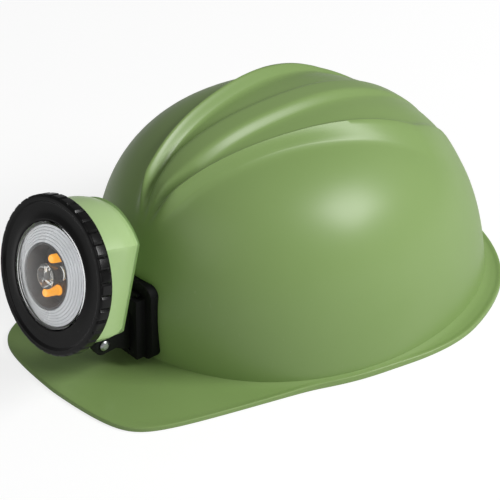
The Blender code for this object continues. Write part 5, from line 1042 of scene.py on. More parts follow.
def lens_profile():
    """Section of the lens: under the dome, round the flange, and back over the dome."""
    inner = domed(LENS_INSIDE, LENS_INSIDE_EDGE, LENS_FRONT - LENS_WALL)[::-1]
    flange = [(LENS_INSIDE, FLANGE_BACK), (FLANGE_RADIUS, FLANGE_BACK), (FLANGE_RADIUS, FLANGE_FRONT),
              (LENS_RADIUS, FLANGE_FRONT)]
    return inner + flange + domed(LENS_RADIUS, LENS_EDGE, LENS_FRONT)


def ring_section(inside, outside, start, end, size):
    """Rectangular section of a ring, from one height to another, with rounded corners."""
    return rounded([(inside, start, size), (outside, start, size), (outside, end, size),
                    (inside, end, size)], 4, True)


def clear_plastic(name, colour, roughness, wear):
    """Clear moulded plastic with faint haze, a little wear and slight unevenness."""
    material, tree, shader = new_material(name, Transmission_Weight=1.0, IOR=1.49,
                                          Specular_IOR_Level=0.3)
    place = put_node(tree, "ShaderNodeTexCoord").outputs["Object"]
    haze = noise(tree, place, 45.0, 3.0)
    tint = mapped(tree, haze, 0.3, 0.7, 0.96, 1.0)
    shade = put_node(tree, "ShaderNodeVectorMath", {0: colour, 3: tint}, operation="SCALE")
    tree.links.new(shade.outputs[0], shader.inputs["Base Color"])
    rough = mapped(tree, haze, 0.45, 0.8, roughness, roughness + wear)
    tree.links.new(rough, shader.inputs["Roughness"])
    add_bump(tree, shader, haze, 0.02, GRAIN_DEPTH)
    return material


RUBBER = moulded_plastic("seal_rubber", (0.012, 0.012, 0.012), (0.02, 0.019, 0.018), 0.75, scuffs=0.05,
                         grain=0.3, Specular_IOR_Level=0.3)
LENS_CLEAR = clear_plastic("lens_clear", (0.97, 0.98, 0.985), 0.02, 0.03)
new_piece("lens_dome", turned(lens_profile(), LENS_CLEAR, segments=128), LENS_CLEAR, "lamp",
          ["lens"], 30.0)
seal_section = ring_section(SEAL_INSIDE, FLANGE_RADIUS, SEAL_FRONT, SEAL_BACK, 0.3 * MM)
new_piece("lens_seal", turned(seal_section, RUBBER, closed=True), RUBBER, "lamp",
          ["lens_gasket"])

# ---------------------------------------------------------------- reflector and well
# Bright metallised plastic ring of six steps that rise to the middle, round a dark grey cup that
# holds the light sources.
REFLECTOR_OUTER = 27.7 * MM
REFLECTOR_INNER = 18.3 * MM
REFLECTOR_WALL = 1.3 * MM
REFLECTOR_BASE = -10.6 * MM
REFLECTOR_STEPS = 6
REFLECTOR_DROP = 3.8 * MM
TREAD_SHARE = 0.84
TREAD_RISE = 0.8
VALLEY_DEPTH = 0.35 * MM
WELL_FRONT = 2.3 * MM
WELL_INSIDE = 17.0 * MM
WELL_RADIUS = 18.0 * MM


def reflector_profile():
    """Up the outer wall, in over the steps, then back under them and down inside the wall."""
    tread = (REFLECTOR_OUTER - REFLECTOR_INNER) / REFLECTOR_STEPS
    riser = REFLECTOR_DROP / REFLECTOR_STEPS
    inner_wall = REFLECTOR_OUTER - REFLECTOR_WALL
    corners = [(inner_wall, REFLECTOR_BASE, 0.2 * MM), (REFLECTOR_OUTER, REFLECTOR_BASE, 0.2 * MM)]
    for step in range(REFLECTOR_STEPS):
        radius = REFLECTOR_OUTER - tread * step
        height = WELL_FRONT - REFLECTOR_DROP + riser * step
        corners += [(radius, height, 0.08 * MM),
                    (radius - tread * TREAD_SHARE, height + riser * TREAD_RISE, 0.08 * MM),
                    (radius - tread * (1.0 + TREAD_SHARE) / 2.0, height - VALLEY_DEPTH, 0.05 * MM)]
    corners += [(REFLECTOR_INNER, WELL_FRONT, 0.1 * MM),
                (REFLECTOR_INNER, WELL_FRONT - REFLECTOR_WALL, 0.1 * MM),
                (inner_wall, WELL_FRONT - REFLECTOR_DROP - REFLECTOR_WALL, 0.3 * MM)]
    return rounded(corners, 3, True)


SILVER = moulded_plastic("reflector_silver", (0.92, 0.93, 0.94), (0.86, 0.87, 0.89), 0.28, scuffs=0.1,
                         grain=0.05, Metallic=0.25)
WELL_GREY = moulded_plastic("well_grey", (0.06, 0.055, 0.05), (0.045, 0.042, 0.04), 0.35, scuffs=0.2)
new_piece("stepped_reflector", turned(reflector_profile(), SILVER, closed=True, segments=144), SILVER,
          "lamp", ["reflector"], 25.0)
well_section = ring_section(WELL_INSIDE, WELL_RADIUS, REFLECTOR_BASE, WELL_FRONT, 0.25 * MM)
new_piece("light_well", turned(well_section, WELL_GREY, closed=True, segments=112), WELL_GREY, "lamp",
          ["led_well"])

# ---------------------------------------------------------------- light sources
# Round board at the bottom of the well. It carries a chip that gives white light, under a clear
# moulded optic, and two amber bulbs that stand up in the cup. An aluminium disc backs it.
EMITTER_FLOOR = -8.7 * MM
OPTIC_SIDES = 3
OPTIC_DIP = 0.7 * MM
OPTIC_RADIUS = 7.1 * MM
OPTIC_RIM = 2.8 * MM
OPTIC_FOOT = 4.0 * MM
POCKET_RADIUS = 2.7 * MM
POCKET_DEPTH = 1.3 * MM
VALLEY_LIMIT = 2.0 * MM
VALLEY_SHARPNESS = 6
BULB_OFFSET = 10.2 * MM
BULB_RADIUS = 2.5 * MM
BULB_FRONT = 1.5 * MM
COLLAR_RADIUS = 2.9 * MM
COLLAR_TOP = EMITTER_FLOOR + 1.0 * MM


def optic_mesh():
    """Clear optic: a cone with its pocket behind and three shallow valleys in its front."""
    ceiling = EMITTER_FLOOR + POCKET_DEPTH
    corners = [(0.0, ceiling, 0.0), (POCKET_RADIUS, ceiling, 0.4 * MM),
               (POCKET_RADIUS, EMITTER_FLOOR, 0.1 * MM), (OPTIC_FOOT, EMITTER_FLOOR, 0.2 * MM),
               (OPTIC_RADIUS, OPTIC_RIM - 1.2 * MM, 0.4 * MM), (OPTIC_RADIUS, OPTIC_RIM, 0.4 * MM),
               (3.5 * MM, OPTIC_RIM + 0.4 * MM, 1.0 * MM), (0.0, OPTIC_RIM + 0.8 * MM, 0.0)]
    optic = turned(rounded(corners, 5), OPTIC_CLEAR, Matrix.Identity(4), segments=144)
    for vertex in optic.verts:
        reach = math.hypot(vertex.co.x, vertex.co.y) / OPTIC_RADIUS
        turn = math.atan2(vertex.co.y, vertex.co.x)
        valley = max(0.0, math.cos(OPTIC_SIDES * turn)) ** VALLEY_SHARPNESS
        if vertex.co.z > VALLEY_LIMIT:
            vertex.co.z -= OPTIC_DIP * valley * reach * (1.0 - reach ** VALLEY_SHARPNESS)
    optic.transform(LAMP_PLACE)
    return optic


def glowing(name, colour, light, strength):
    """A coloured body that gives off a little of its own light."""
    material = moulded_plastic(name, colour, [0.9 * value for value in colour], 0.15, scuffs=0.05,
                               Specular_IOR_Level=0.6, Coat_Weight=0.4)
    shader = material.node_tree.nodes["Principled BSDF"]
    shader.inputs["Emission Color"].default_value = (*light, 1.0)
    shader.inputs["Emission Strength"].default_value = strength
    return material


OPTIC_CLEAR = clear_plastic("optic_clear", (0.96, 0.95, 0.9), 0.04, 0.05)
AMBER = glowing("amber_epoxy", (0.95, 0.36, 0.01), (1.0, 0.4, 0.01), 0.9)
PHOSPHOR = glowing("chip_phosphor", (0.85, 0.62, 0.12), (1.0, 0.75, 0.3), 0.1)
new_piece("main_optic_cone", optic_mesh(), OPTIC_CLEAR, "lamp", ["main_optic"], 40.0)
bulb_profile = rounded([(0.0, EMITTER_FLOOR, 0.0), (COLLAR_RADIUS, EMITTER_FLOOR, 0.1 * MM),
                        (COLLAR_RADIUS, COLLAR_TOP, 0.2 * MM), (BULB_RADIUS, COLLAR_TOP, 0.1 * MM),
                        (BULB_RADIUS, BULB_FRONT, 2.4 * MM), (0.0, BULB_FRONT, 0.0)], 8)
for side, name in ((-1.0, "amber_led_lower"), (1.0, "amber_led_upper")):
    place = LAMP_PLACE @ Matrix.Translation((0.0, side * BULB_OFFSET, 0.0))
    new_piece(name + "_bulb", turned(bulb_profile, AMBER, place, segments=48), AMBER, "lamp",
              [name])
new_piece("white_chip", soft_copy("main_led", 0.12 * MM), PHOSPHOR, "lamp", ["main_led"])
ALUMINIUM = moulded_plastic("aluminium", (0.6, 0.61, 0.62), (0.54, 0.55, 0.56), 0.38, scuffs=0.4,
                            scuff_scale=90.0, grain=0.2, Metallic=1.0)
BOARD_DARK = moulded_plastic("led_board_dark", (0.035, 0.03, 0.028), (0.045, 0.04, 0.036), 0.4)
for name, width, material, slot in (("led_board", 0.15 * MM, BOARD_DARK, "led_board_dark"),
                                    ("heat_sink", 0.35 * MM, ALUMINIUM, "aluminium")):
    new_piece(name + "_disc", soft_copy(name, width), material, "lamp", [name])

# ---------------------------------------------------------------- battery, board and tray
# Blue-wrapped cell in a grey tray against the back of the lamp body, and in front of them a green
# circuit board with four low parts. Two brass studs outside meet a charging stand's contacts.
STUD_RADIUS = 3.0 * MM
STUD_SHANK = 1.9 * MM
STUD_END = -28.7 * MM
STUD_SEAT = -HOUSING_DEPTH - 0.3 * MM
STUD_TOP = STUD_SEAT - 1.3 * MM
TRAY_GREY = moulded_plastic("tray_grey", (0.16, 0.16, 0.17), (0.14, 0.14, 0.15), 0.6)
WRAP_BLUE = moulded_plastic("battery_wrap", (0.04, 0.11, 0.38), (0.03, 0.09, 0.33), 0.35, grain=0.05,
                            Coat_Weight=0.3)
BOARD_GREEN = moulded_plastic("board_green", (0.02, 0.14, 0.05), (0.025, 0.17, 0.06), 0.35,
                              mottle_scale=260.0)
BRASS = moulded_plastic("contact_brass", (0.8, 0.58, 0.24), (0.66, 0.46, 0.18), 0.28, scuffs=0.5,
                        scuff_scale=200.0, Metallic=1.0)
for name, width, material, slot in (("battery_tray", 0.4 * MM, TRAY_GREY, "tray_grey"),
                                    ("battery_pack", 1.5 * MM, WRAP_BLUE, "battery_wrap"),
                                    ("control_board", 0.15 * MM, BOARD_GREEN, "board_green")):
    new_piece(name + "_block", soft_copy(name, width, 3), material, "lamp", [name])
stud_profile = rounded([(0.0, STUD_TOP, 0.0), (STUD_RADIUS - 1.2 * MM, STUD_TOP, 0.4 * MM),
                        (STUD_RADIUS, STUD_TOP + 0.4 * MM, 0.4 * MM), (STUD_RADIUS, STUD_SEAT, 0.15 * MM),
                        (STUD_SHANK, STUD_SEAT, 0.1 * MM), (STUD_SHANK, STUD_END, 0.2 * MM),
                        (0.0, STUD_END, 0.0)], 4)
for (x, y), name in zip(STUD_PLACES, ("charge_contact_right", "charge_contact_left")):
    place = LAMP_PLACE @ Matrix.Translation((x, y, 0.0))
    new_piece(name + "_stud", turned(stud_profile, BRASS, place, segments=48), BRASS, "lamp",
              [name])

# ---------------------------------------------------------------- rotary switch
# Black switch inside the wall with a steel shaft out through a rubber ring, and a fluted black
# knob pressed on the shaft.
SHAFT_RADIUS = 2.0 * MM
SHAFT_START = 22.1 * MM
SHAFT_END = 37.4 * MM
RING_INSIDE = 2.3 * MM
RING_RADIUS = 3.8 * MM
RING_START = 30.3 * MM
RING_MIDDLE = 30.85 * MM
RING_END = 31.4 * MM
# Corners of the knob, like those of the bezel: bore, foot, fluted side, and top.
SWITCH_CORNERS = [
    (0.0, 37.7, 0.0, 0.0), (2.3, 37.7, 0.2, 0.0), (2.3, 31.7, 0.2, 0.0), (8.5, 31.7, 0.5, 0.0),
    (8.5, 33.0, 0.6, 1.0), (8.0, 40.2, 0.8, 1.0), (6.8, 41.2, 0.9, 0.0), (0.0, 41.2, 0.0, 0.0)]
SWITCH_AXIS = (LAMP_PLACE @ Matrix.Translation((0.0, *SWITCH_PLACE))
               @ Matrix.Rotation(-math.pi / 2.0, 4, "Y"))
KNOB_BLACK = moulded_plastic("knob_black", (0.012, 0.012, 0.013), (0.02, 0.02, 0.021), 0.38, scuffs=0.35,
                             grain=0.15)
new_piece("switch_block", soft_copy("switch_body", 0.4 * MM, 3), CLIP_BLACK, "lamp",
          ["switch_body"])
ring_profile = rounded([(RING_INSIDE, RING_MIDDLE, 0.0), (RING_INSIDE, RING_END, 0.15 * MM),
                        (RING_RADIUS, RING_END, 0.35 * MM), (RING_RADIUS, RING_START, 0.2 * MM),
                        (RING_INSIDE, RING_START, 0.15 * MM), (RING_INSIDE, RING_MIDDLE, 0.0)], 5)
new_piece("switch_ring", turned(ring_profile, RUBBER, SWITCH_AXIS), RUBBER, "lamp",
          ["switch_seal"], 32.0)
rod_profile = rounded([(0.0, SHAFT_START, 0.0), (SHAFT_RADIUS, SHAFT_START, 0.2 * MM),
                       (SHAFT_RADIUS, SHAFT_END, 0.3 * MM), (0.0, SHAFT_END, 0.0)], 5)
new_piece("switch_rod", turned(rod_profile, PLATED_STEEL, SWITCH_AXIS), PLATED_STEEL, "switch",
          ["switch_shaft"], 32.0)


def fluted_knob(name, corners, axis, body, node, flutes, depth):
    """A black knob turned about its axis, with wide soft flutes down its side."""
    profile, shares = grooved_profile(corners, 5)
    knob = turned(profile, KNOB_BLACK, axis, weights=shares, segments=16 * flutes, Grooves=float(flutes),
                  Groove_Depth=depth, Groove_Share=0.3, Groove_Slope=0.2)
    new_piece(name, knob, KNOB_BLACK, body, [node], 32.0)


fluted_knob("switch_grip", SWITCH_CORNERS, SWITCH_AXIS, "switch", "switch_knob", 12, 0.8 * MM)

# ---------------------------------------------------------------- headband and keys
# Moulded black nylon strip round the head with an eye at each tail, and the four keys that push
# up into the lugs and carry the band and the crown straps.
HEAD_FORWARD = 6.0 * MM
BAND_HALF_WIDTH = 76.0 * MM
BAND_HALF_LENGTH = 93.0 * MM
BAND_SQUARENESS = (2.2, 3.0)
BAND_MIDDLE = 19.0 * MM
BAND_BLACK = moulded_plastic("headband_black", (0.016, 0.016, 0.017), (0.024, 0.024, 0.026), 0.5,
                             scuffs=0.3, grain=0.3, grain_scale=1400.0)


def signed_power(value, power):
    return math.copysign(abs(value) ** power, value)


def band_point(turn, inset, height):
    """Point at an inset inside the headband's middle line."""
    squareness = BAND_SQUARENESS[0] if math.cos(turn) > 0.0 else BAND_SQUARENESS[1]
    x = (BAND_HALF_WIDTH - inset) * signed_power(math.sin(turn), 2.0 / squareness)
    y = -(BAND_HALF_LENGTH - inset) * signed_power(math.cos(turn), 2.0 / squareness)
    return Vector((x, y - HEAD_FORWARD, height)) + SHELL_PLACE


new_piece("band_strip", soft_copy("headband", 0.35 * MM, 2, 40.0), BAND_BLACK, "cap",
          ["headband"])
for number in range(1, len(KEY_ANGLES) + 1):
    name = "harness_key_%d" % number
    new_piece(name + "_body", soft_copy(name, 0.5 * MM, 3), BAND_BLACK, "cap", [name])

# ---------------------------------------------------------------- sweatband
# Foam pad in knitted cover round the forehead, fixed to the headband along its edges. It bulges
# to the middle, dips at the quilting lines and is sewn along both edges.
SWEAT_END = math.radians(64.0)
SWEAT_NEAR = 1.3 * MM
SWEAT_EDGE = 2.2 * MM
SWEAT_THICKNESS = 4.0 * MM
SWEAT_HALF_HEIGHT = 16.5 * MM
SWEAT_COLUMNS = 220
SWEAT_ROWS = 32
QUILT_COUNT = 9
QUILT_DIP = 1.3 * MM
QUILT_SHARPNESS = 14.0
SEAM_INSET = 2.4 * MM
SEAM_DIP = 0.45 * MM
STITCH_LENGTH = 2.6 * MM
STITCH_PITCH = 3.6 * MM
STITCH_RADIUS = 0.28 * MM
SEAM_WIDTH = 0.5 * MM
SWEAT_LEAST = 0.5 * MM
EDGE_SHARE = 0.35
SEAM_STEPS = 200
SEAM_FIRST = 4
THREAD_TAPER = 0.65
CLOTH_UNIT = 10.0 * MM


def sweat_depth(column_share, row_share):
    """Thickness of the pad: crowned, tucked in at its edges, quilting lines and seams."""
    across = 2.0 * row_share - 1.0
    along = 2.0 * column_share - 1.0
    crown = (1.0 - abs(across) ** 2.6) ** 0.6
    end = min(1.0, (1.0 - abs(along)) * 26.0) ** 0.5
    beat = abs((column_share * QUILT_COUNT) % 1.0 - 0.5) * 2.0
    quilt = math.exp(-((1.0 - beat) * QUILT_SHARPNESS / 2.0) ** 2) * (1.0 - abs(across) ** 4)
    if min(column_share, 1.0 - column_share) < 0.5 / QUILT_COUNT:
        quilt = 0.0
    edge = (1.0 - abs(across)) * SWEAT_HALF_HEIGHT
    seam = math.exp(-((edge - SEAM_INSET) / SEAM_WIDTH) ** 2)
    full = SWEAT_EDGE * EDGE_SHARE + (SWEAT_THICKNESS - SWEAT_EDGE * EDGE_SHARE) * crown
    return max(full * (0.4 + 0.6 * end) - QUILT_DIP * quilt - SEAM_DIP * seam, SWEAT_LEAST)


def sweat_point(column_share, row_share, depth):
    """Point of the pad at shares along and up it, at a depth inside its outer face."""
    turn = SWEAT_END * (2.0 * column_share - 1.0)
    height = BAND_MIDDLE + SWEAT_HALF_HEIGHT * (2.0 * row_share - 1.0)
    return band_point(turn, SWEAT_NEAR + depth, height)


def sweatband_mesh():
    columns = [column / SWEAT_COLUMNS for column in range(SWEAT_COLUMNS + 1)]
    rows = [row / SWEAT_ROWS for row in range(SWEAT_ROWS + 1)]
    front = [[sweat_point(column, row, 0.0) for row in rows] for column in columns]
    back = [[sweat_point(column, row, sweat_depth(column, row)) for row in rows] for column in columns]
    return closed_sheet(front, back)


def stitch_tree():
    """Geometry nodes: short rounded threads laid end to end along a line of points."""
    tree, given, result = new_group(
        "stitch_line", "GeometryNodeTree",
        [("Geometry", "NodeSocketGeometry", None), ("Pitch", "NodeSocketFloat", 0.0036),
         ("Thread Radius", "NodeSocketFloat", 0.0003), ("Thread Length", "NodeSocketFloat", 0.0026),
         ("Lift", "NodeSocketFloat", 0.0), ("Seed", "NodeSocketInt", 5),
         ("Material", "NodeSocketMaterial", None)],
        [("Geometry", "NodeSocketGeometry")])
    curve = put_node(tree, "GeometryNodeMeshToCurve", {"Mesh": given.outputs["Geometry"]})
    spaced = put_node(tree, "GeometryNodeCurveToPoints", {
        "Curve": curve.outputs[0], "Length": given.outputs["Pitch"]}, mode="LENGTH")
    thread = put_node(tree, "GeometryNodeMeshCylinder", {
        "Vertices": 6, "Side Segments": 4, "Radius": given.outputs["Thread Radius"],
        "Depth": given.outputs["Thread Length"]}, fill_type="TRIANGLE_FAN")
    place = put_node(tree, "GeometryNodeInputPosition").outputs[0]
    parts = put_node(tree, "ShaderNodeSeparateXYZ", {0: place})
    half = maths(tree, "MULTIPLY", given.outputs["Thread Length"], 0.5)
    square = maths(tree, "POWER", maths(tree, "DIVIDE", parts.outputs["Z"], half), 2.0)
    thin = maths(tree, "SUBTRACT", 1.0, maths(tree, "MULTIPLY", square, THREAD_TAPER))
    slim = put_node(tree, "ShaderNodeCombineXYZ", {
        "X": maths(tree, "MULTIPLY", parts.outputs["X"], thin),
        "Y": maths(tree, "MULTIPLY", parts.outputs["Y"], thin), "Z": parts.outputs["Z"]})
    tapered = put_node(tree, "GeometryNodeSetPosition", {"Geometry": thread.outputs["Mesh"],
                                                         "Position": slim.outputs[0]})
    sewn = put_node(tree, "GeometryNodeInstanceOnPoints", {
        "Points": spaced.outputs["Points"], "Instance": tapered.outputs[0],
        "Rotation": spaced.outputs["Rotation"]})
    real = put_node(tree, "GeometryNodeRealizeInstances", {"Geometry": sewn.outputs["Instances"]})
    coated = put_node(tree, "GeometryNodeSetMaterial", {"Geometry": real.outputs["Geometry"],
                                                        "Material": given.outputs["Material"]})
    tree.links.new(coated.outputs["Geometry"], result.inputs["Geometry"])
    return tree


def sewing(name, lines, material, body):
    """Rows of stitches along lines of points, as one piece."""
    path = bmesh.new()
    for line in lines:
        points = [path.verts.new(point) for point in line]
        for first, second in zip(points, points[1:]):
            path.edges.new((first, second))
    threads = run_tree(STITCH_LINE, path, {
        "Pitch": STITCH_PITCH, "Thread Radius": STITCH_RADIUS, "Thread Length": STITCH_LENGTH,
        "Material": material})
    return new_piece(name, threads, material, body)


def fabric(name, colour, worn, scale, stretch, depth, roughness=0.9):
    """Cloth with a woven or knitted relief laid in the piece's own UV, soft wear, and painted shade and
    painted highlight that follow the threads.
    """
    material, tree, shader = new_material(name, Specular_IOR_Level=0.2, Sheen_Weight=0.25)
    place = put_node(tree, "ShaderNodeUVMap", uv_map="UVMap").outputs[0]
    threads = []
    for direction, count in (("X", scale), ("Y", scale * stretch)):
        wave = put_node(tree, "ShaderNodeTexWave", {"Vector": place, "Scale": count, "Distortion": 0.4,
                                                    "Detail": 1.0},
                        wave_type="BANDS", bands_direction=direction, wave_profile="SIN")
        threads.append(wave.outputs["Fac"])
    weave = maths(tree, "MULTIPLY", *threads)
    wear = noise(tree, put_node(tree, "ShaderNodeTexCoord").outputs["Object"], 60.0, 4.0)
    tone = blended(tree, mapped(tree, wear, 0.35, 0.7), (*colour, 1.0), (*worn, 1.0))
    # Painted shade and painted highlight: the cloth's colour drops to 0.6 in the gaps of the weave and rises
    # to 1.1 on the threads.
    painted_weave_shade = put_node(tree, "ShaderNodeVectorMath", {0: tone, 3: mapped(tree, weave, 0.0, 1.0, 0.6, 1.1)},
                   operation="SCALE")
    tree.links.new(painted_weave_shade.outputs[0], shader.inputs["Base Color"])
    rough = mapped(tree, wear, 0.0, 1.0, roughness - 0.08, roughness + 0.08)
    tree.links.new(rough, shader.inputs["Roughness"])
    add_bump(tree, shader, weave, 0.8, depth)
    return material


def lay_uv(mesh, rows, columns, along, across, crosswise=False):
    """UV map of a closed sheet made of rows of points; its X runs along the sheet or across it."""
    layer = mesh.uv_layers.new(name="UVMap")
    for loop in mesh.loops:
        row, column = divmod(loop.vertex_index % (rows * columns), columns)
        place = (row / (rows - 1) * along / CLOTH_UNIT, column / (columns - 1) * across / CLOTH_UNIT)
        layer.data[loop.index].uv = place[::-1] if crosswise else place


STITCH_LINE = stitch_tree()
THREAD = moulded_plastic("sewing_thread", (0.035, 0.035, 0.037), (0.05, 0.05, 0.052), 0.8,
                         mottle_scale=400.0, grain=0.3, grain_scale=3000.0)
KNIT = fabric("sweatband_knit", (0.03, 0.03, 0.033), (0.048, 0.048, 0.052), 90.0, 1.0, 0.12 * MM)
sweatband = new_piece("forehead_pad", sweatband_mesh(), KNIT, "cap", ["sweatband"], 60.0)
lay_uv(sweatband.data, SWEAT_COLUMNS + 1, SWEAT_ROWS + 1, SWEAT_END * (BAND_HALF_WIDTH + BAND_HALF_LENGTH),
       2.0 * SWEAT_HALF_HEIGHT)
seam_share = SEAM_INSET / (2.0 * SWEAT_HALF_HEIGHT)
seam_places = [step / SEAM_STEPS for step in range(SEAM_FIRST, SEAM_STEPS - SEAM_FIRST + 1)]
sewing("forehead_pad_stitches",
       [[sweat_point(place, row, sweat_depth(place, row) + STITCH_RADIUS * 0.3) for place in seam_places]
        for row in (seam_share, 1.0 - seam_share)], THREAD, "cap")

# ---------------------------------------------------------------- crown straps
# Two flat woven straps over the head, each from a front key to the rear key across from it. A
# box of stitches with a cross in it marks where each end is sewn to its key.
STRAP_WIDTH = 20.0 * MM
STRAP_THICKNESS = 1.6 * MM
STRAP_CROWN = 84.0 * MM
STRAP_CROSSING = 2.8 * MM
STRAP_SQUARENESS = 2.5
STRAP_STEPS = 28
STRAP_SUBSTEPS = 5
STRAP_COLUMNS = 8
STRAP_EDGE = 0.3 * MM
STRAP_GAP = 0.6 * MM
STRAP_START = 0.9 * MM
BAND_BOTTOM = 5.0 * MM
CROSS_START = 2
CROSS_LENGTH = 15.0 * MM
CROSS_HALF_SHARE = 0.75
CROSS_STEPS = 12


def strap_end(placed):
    """Place where a strap's middle line leaves the key in a lug."""
    inset = LUG_DEPTH + STRAP_GAP + STRAP_THICKNESS / 2.0
    places = [placed @ Vector((0.0, inset, side * LUG_HALF_HEIGHT)) for side in (-1.0, 1.0)]
    return min(places, key=lambda place: math.hypot(place.x, place.y - SHELL_PLACE.y))


def strap_path(start, end, crown):
    """Points of a strap's middle line: up off one key, over the head and down to the other."""
    base = LUG_CENTRE - LUG_HALF_HEIGHT + STRAP_START
    path = []
    for step in range(STRAP_STEPS + 1):
        turn = math.pi * step / STRAP_STEPS
        along = -signed_power(math.cos(turn), 2.0 / STRAP_SQUARENESS)
        rise = math.sin(turn) ** (2.0 / STRAP_SQUARENESS)
        point = start.lerp(end, (along + 1.0) / 2.0)
        path.append(Vector((point.x, point.y, base + (crown - base) * rise)))
    return path


def strap_rows(first_angle, second_angle, crown):
    """Middle point, half width and face direction of the strap, row by row."""
    frames = [wall_frame(math.radians(angle), LUG_CENTRE) for angle in (first_angle, second_angle)]
    start, end = [strap_end(placed) for placed in frames]
    direction = Vector((end.x - start.x, end.y - start.y, 0.0)).normalized()
    middle = Vector((-direction.y, direction.x, 0.0))
    sides = [placed.to_3x3() @ Vector((1.0, 0.0, 0.0)) for placed in frames]
    sides = [side if side.dot(middle) > 0.0 else -side for side in sides]
    path = strap_path(start, end, crown)
    centre = Vector((0.0, SHELL_PLACE.y, BAND_BOTTOM))
    rows = []
    for index, point in enumerate(path):
        before, after = path[max(index - 1, 0)], path[min(index + 1, STRAP_STEPS)]
        share = index / STRAP_STEPS
        twist = abs(2.0 * share - 1.0) ** 2
        across = middle.lerp(sides[0 if share < 0.5 else 1], twist).normalized() * STRAP_WIDTH / 2.0
        normal = across.cross(after - before).normalized()
        rows.append((point, across, normal if normal.dot(point - centre) > 0.0 else -normal))
    fine = []
    for first, second in zip(rows, rows[1:]):
        for step in range(STRAP_SUBSTEPS):
            share = step / STRAP_SUBSTEPS
            fine.append(tuple(one.lerp(two, share) for one, two in zip(first, second)))
    return fine + [rows[-1]]


def strap_mesh(rows):
    """Closed webbing strip: thin, with its two long edges thinned like a woven selvedge."""
    shares = [2.0 * column / STRAP_COLUMNS - 1.0 for column in range(STRAP_COLUMNS + 1)]
    faces = []
    for sign in (1.0, -1.0):
        faces.append([[point + across * share + normal * sign * (
            STRAP_THICKNESS / 2.0 - STRAP_EDGE * abs(share) ** 8) for share in shares]
            for point, across, normal in rows])
    return closed_sheet(*faces)


def strap_stitches(rows, length):
    """A box with a cross inside it, on the inner face at each end of a strap."""
    lines = []
    low, high = CROSS_START, CROSS_START + max(2, round(len(rows) * CROSS_LENGTH / length))
    corners = [(row, side * CROSS_HALF_SHARE) for row in (low, high) for side in (-1.0, 1.0)]
    for ends in (rows, rows[::-1]):
        for (first, one), (last, two) in itertools.combinations(corners, 2):
            line = []
            for step in range(CROSS_STEPS + 1):
                share = step / CROSS_STEPS
                point, across, normal = ends[round(first + (last - first) * share)]
                line.append(point + across * (one + (two - one) * share)
                            - normal * (STRAP_THICKNESS / 2.0 + STITCH_RADIUS * 0.2))
            lines.append(line)
    return lines


WEBBING = fabric("strap_webbing", (0.035, 0.035, 0.038), (0.055, 0.055, 0.06), 40.0, 2.2, 0.18 * MM)
for name, keys, crown in (("crown_strap_lower", (0, 2), STRAP_CROWN),
                          ("crown_strap_upper", (3, 1), STRAP_CROWN + STRAP_CROSSING)):
    rows = strap_rows(*[KEY_ANGLES[key] for key in keys], crown)
    length = sum((second[0] - first[0]).length for first, second in zip(rows, rows[1:]))
    strap = new_piece(name + "_webbing", strap_mesh(rows), WEBBING, "cap", [name], 60.0)
    lay_uv(strap.data, len(rows), STRAP_COLUMNS + 1, length, STRAP_WIDTH, crosswise=True)
    sewing(name + "_stitches", strap_stitches(rows, length), THREAD, "cap")

# ---------------------------------------------------------------- nape ratchet
# Case and cover of black nylon round a white nylon pinion and two toothed racks. Turning the
# fluted black knob draws the tails of the headband together, and a steel leaf spring clicks.
KNOB_PLACE = 87.0 * MM
COVER_SCREW = {"shank": 1.2 * MM, "head": 2.4 * MM, "crown": 1.5 * MM, "head_height": 1.3 * MM}
COVER_SCREW_LENGTH = 6.0 * MM
COVER_SCREW_OFFSET = 26.0 * MM
COVER_SCREW_SEAT = 92.8 * MM
# Corners of the knob, in the same order as those of the switch's knob.
RATCHET_CORNERS = [
    (0.0, 11.5, 0.0, 0.0), (3.7, 11.5, 0.2, 0.0), (3.7, 6.1, 0.2, 0.0), (11.5, 6.1, 0.5, 0.0),
    (11.5, 7.2, 0.6, 1.0), (11.5, 13.1, 1.2, 1.0), (9.9, 14.6, 1.0, 0.0), (0.0, 14.0, 0.0, 0.0)]
CASE_BLACK = moulded_plastic("case_black", (0.015, 0.015, 0.016), (0.024, 0.024, 0.026), 0.42,
                             scuffs=0.35, grain=0.3, grain_scale=1400.0)
PINION_WHITE = moulded_plastic("pinion_white", (0.74, 0.73, 0.7), (0.68, 0.66, 0.62), 0.45)
KNOB_AXIS = (Matrix.Translation((0.0, KNOB_PLACE + SHELL_PLACE.y, BAND_MIDDLE))
             @ Matrix.Rotation(-math.pi / 2.0, 4, "X"))
for name, width, material, body, slot in (
        ("nape_case", 0.4 * MM, CASE_BLACK, "cap", "plastic_black"),
        ("nape_cover", 0.4 * MM, CASE_BLACK, "cap", "plastic_black"),
        ("detent_spring", 0.1 * MM, PLATED_STEEL, "cap", "screw_steel"),
        ("ratchet_pinion", 0.12 * MM, PINION_WHITE, "size_knob", "nylon_white"),
        ("rack_left", 0.12 * MM, CASE_BLACK, "left_tail", "plastic_black"),
        ("rack_right", 0.12 * MM, CASE_BLACK, "right_tail", "plastic_black")):
    new_piece(name + "_form", soft_copy(name, width), material, body, [name])
fluted_knob("ratchet_grip", RATCHET_CORNERS, KNOB_AXIS, "size_knob", "ratchet_knob", 14, 1.0 * MM)
cover_seats = [Vector((side * COVER_SCREW_OFFSET, COVER_SCREW_SEAT, BAND_MIDDLE)) + SHELL_PLACE
               for side in (-1.0, 1.0)]
put_screws("cover_screws", screw_helper(length=COVER_SCREW_LENGTH, **COVER_SCREW), cover_seats, 8,
           ["nape_screw_left", "nape_screw_right"])

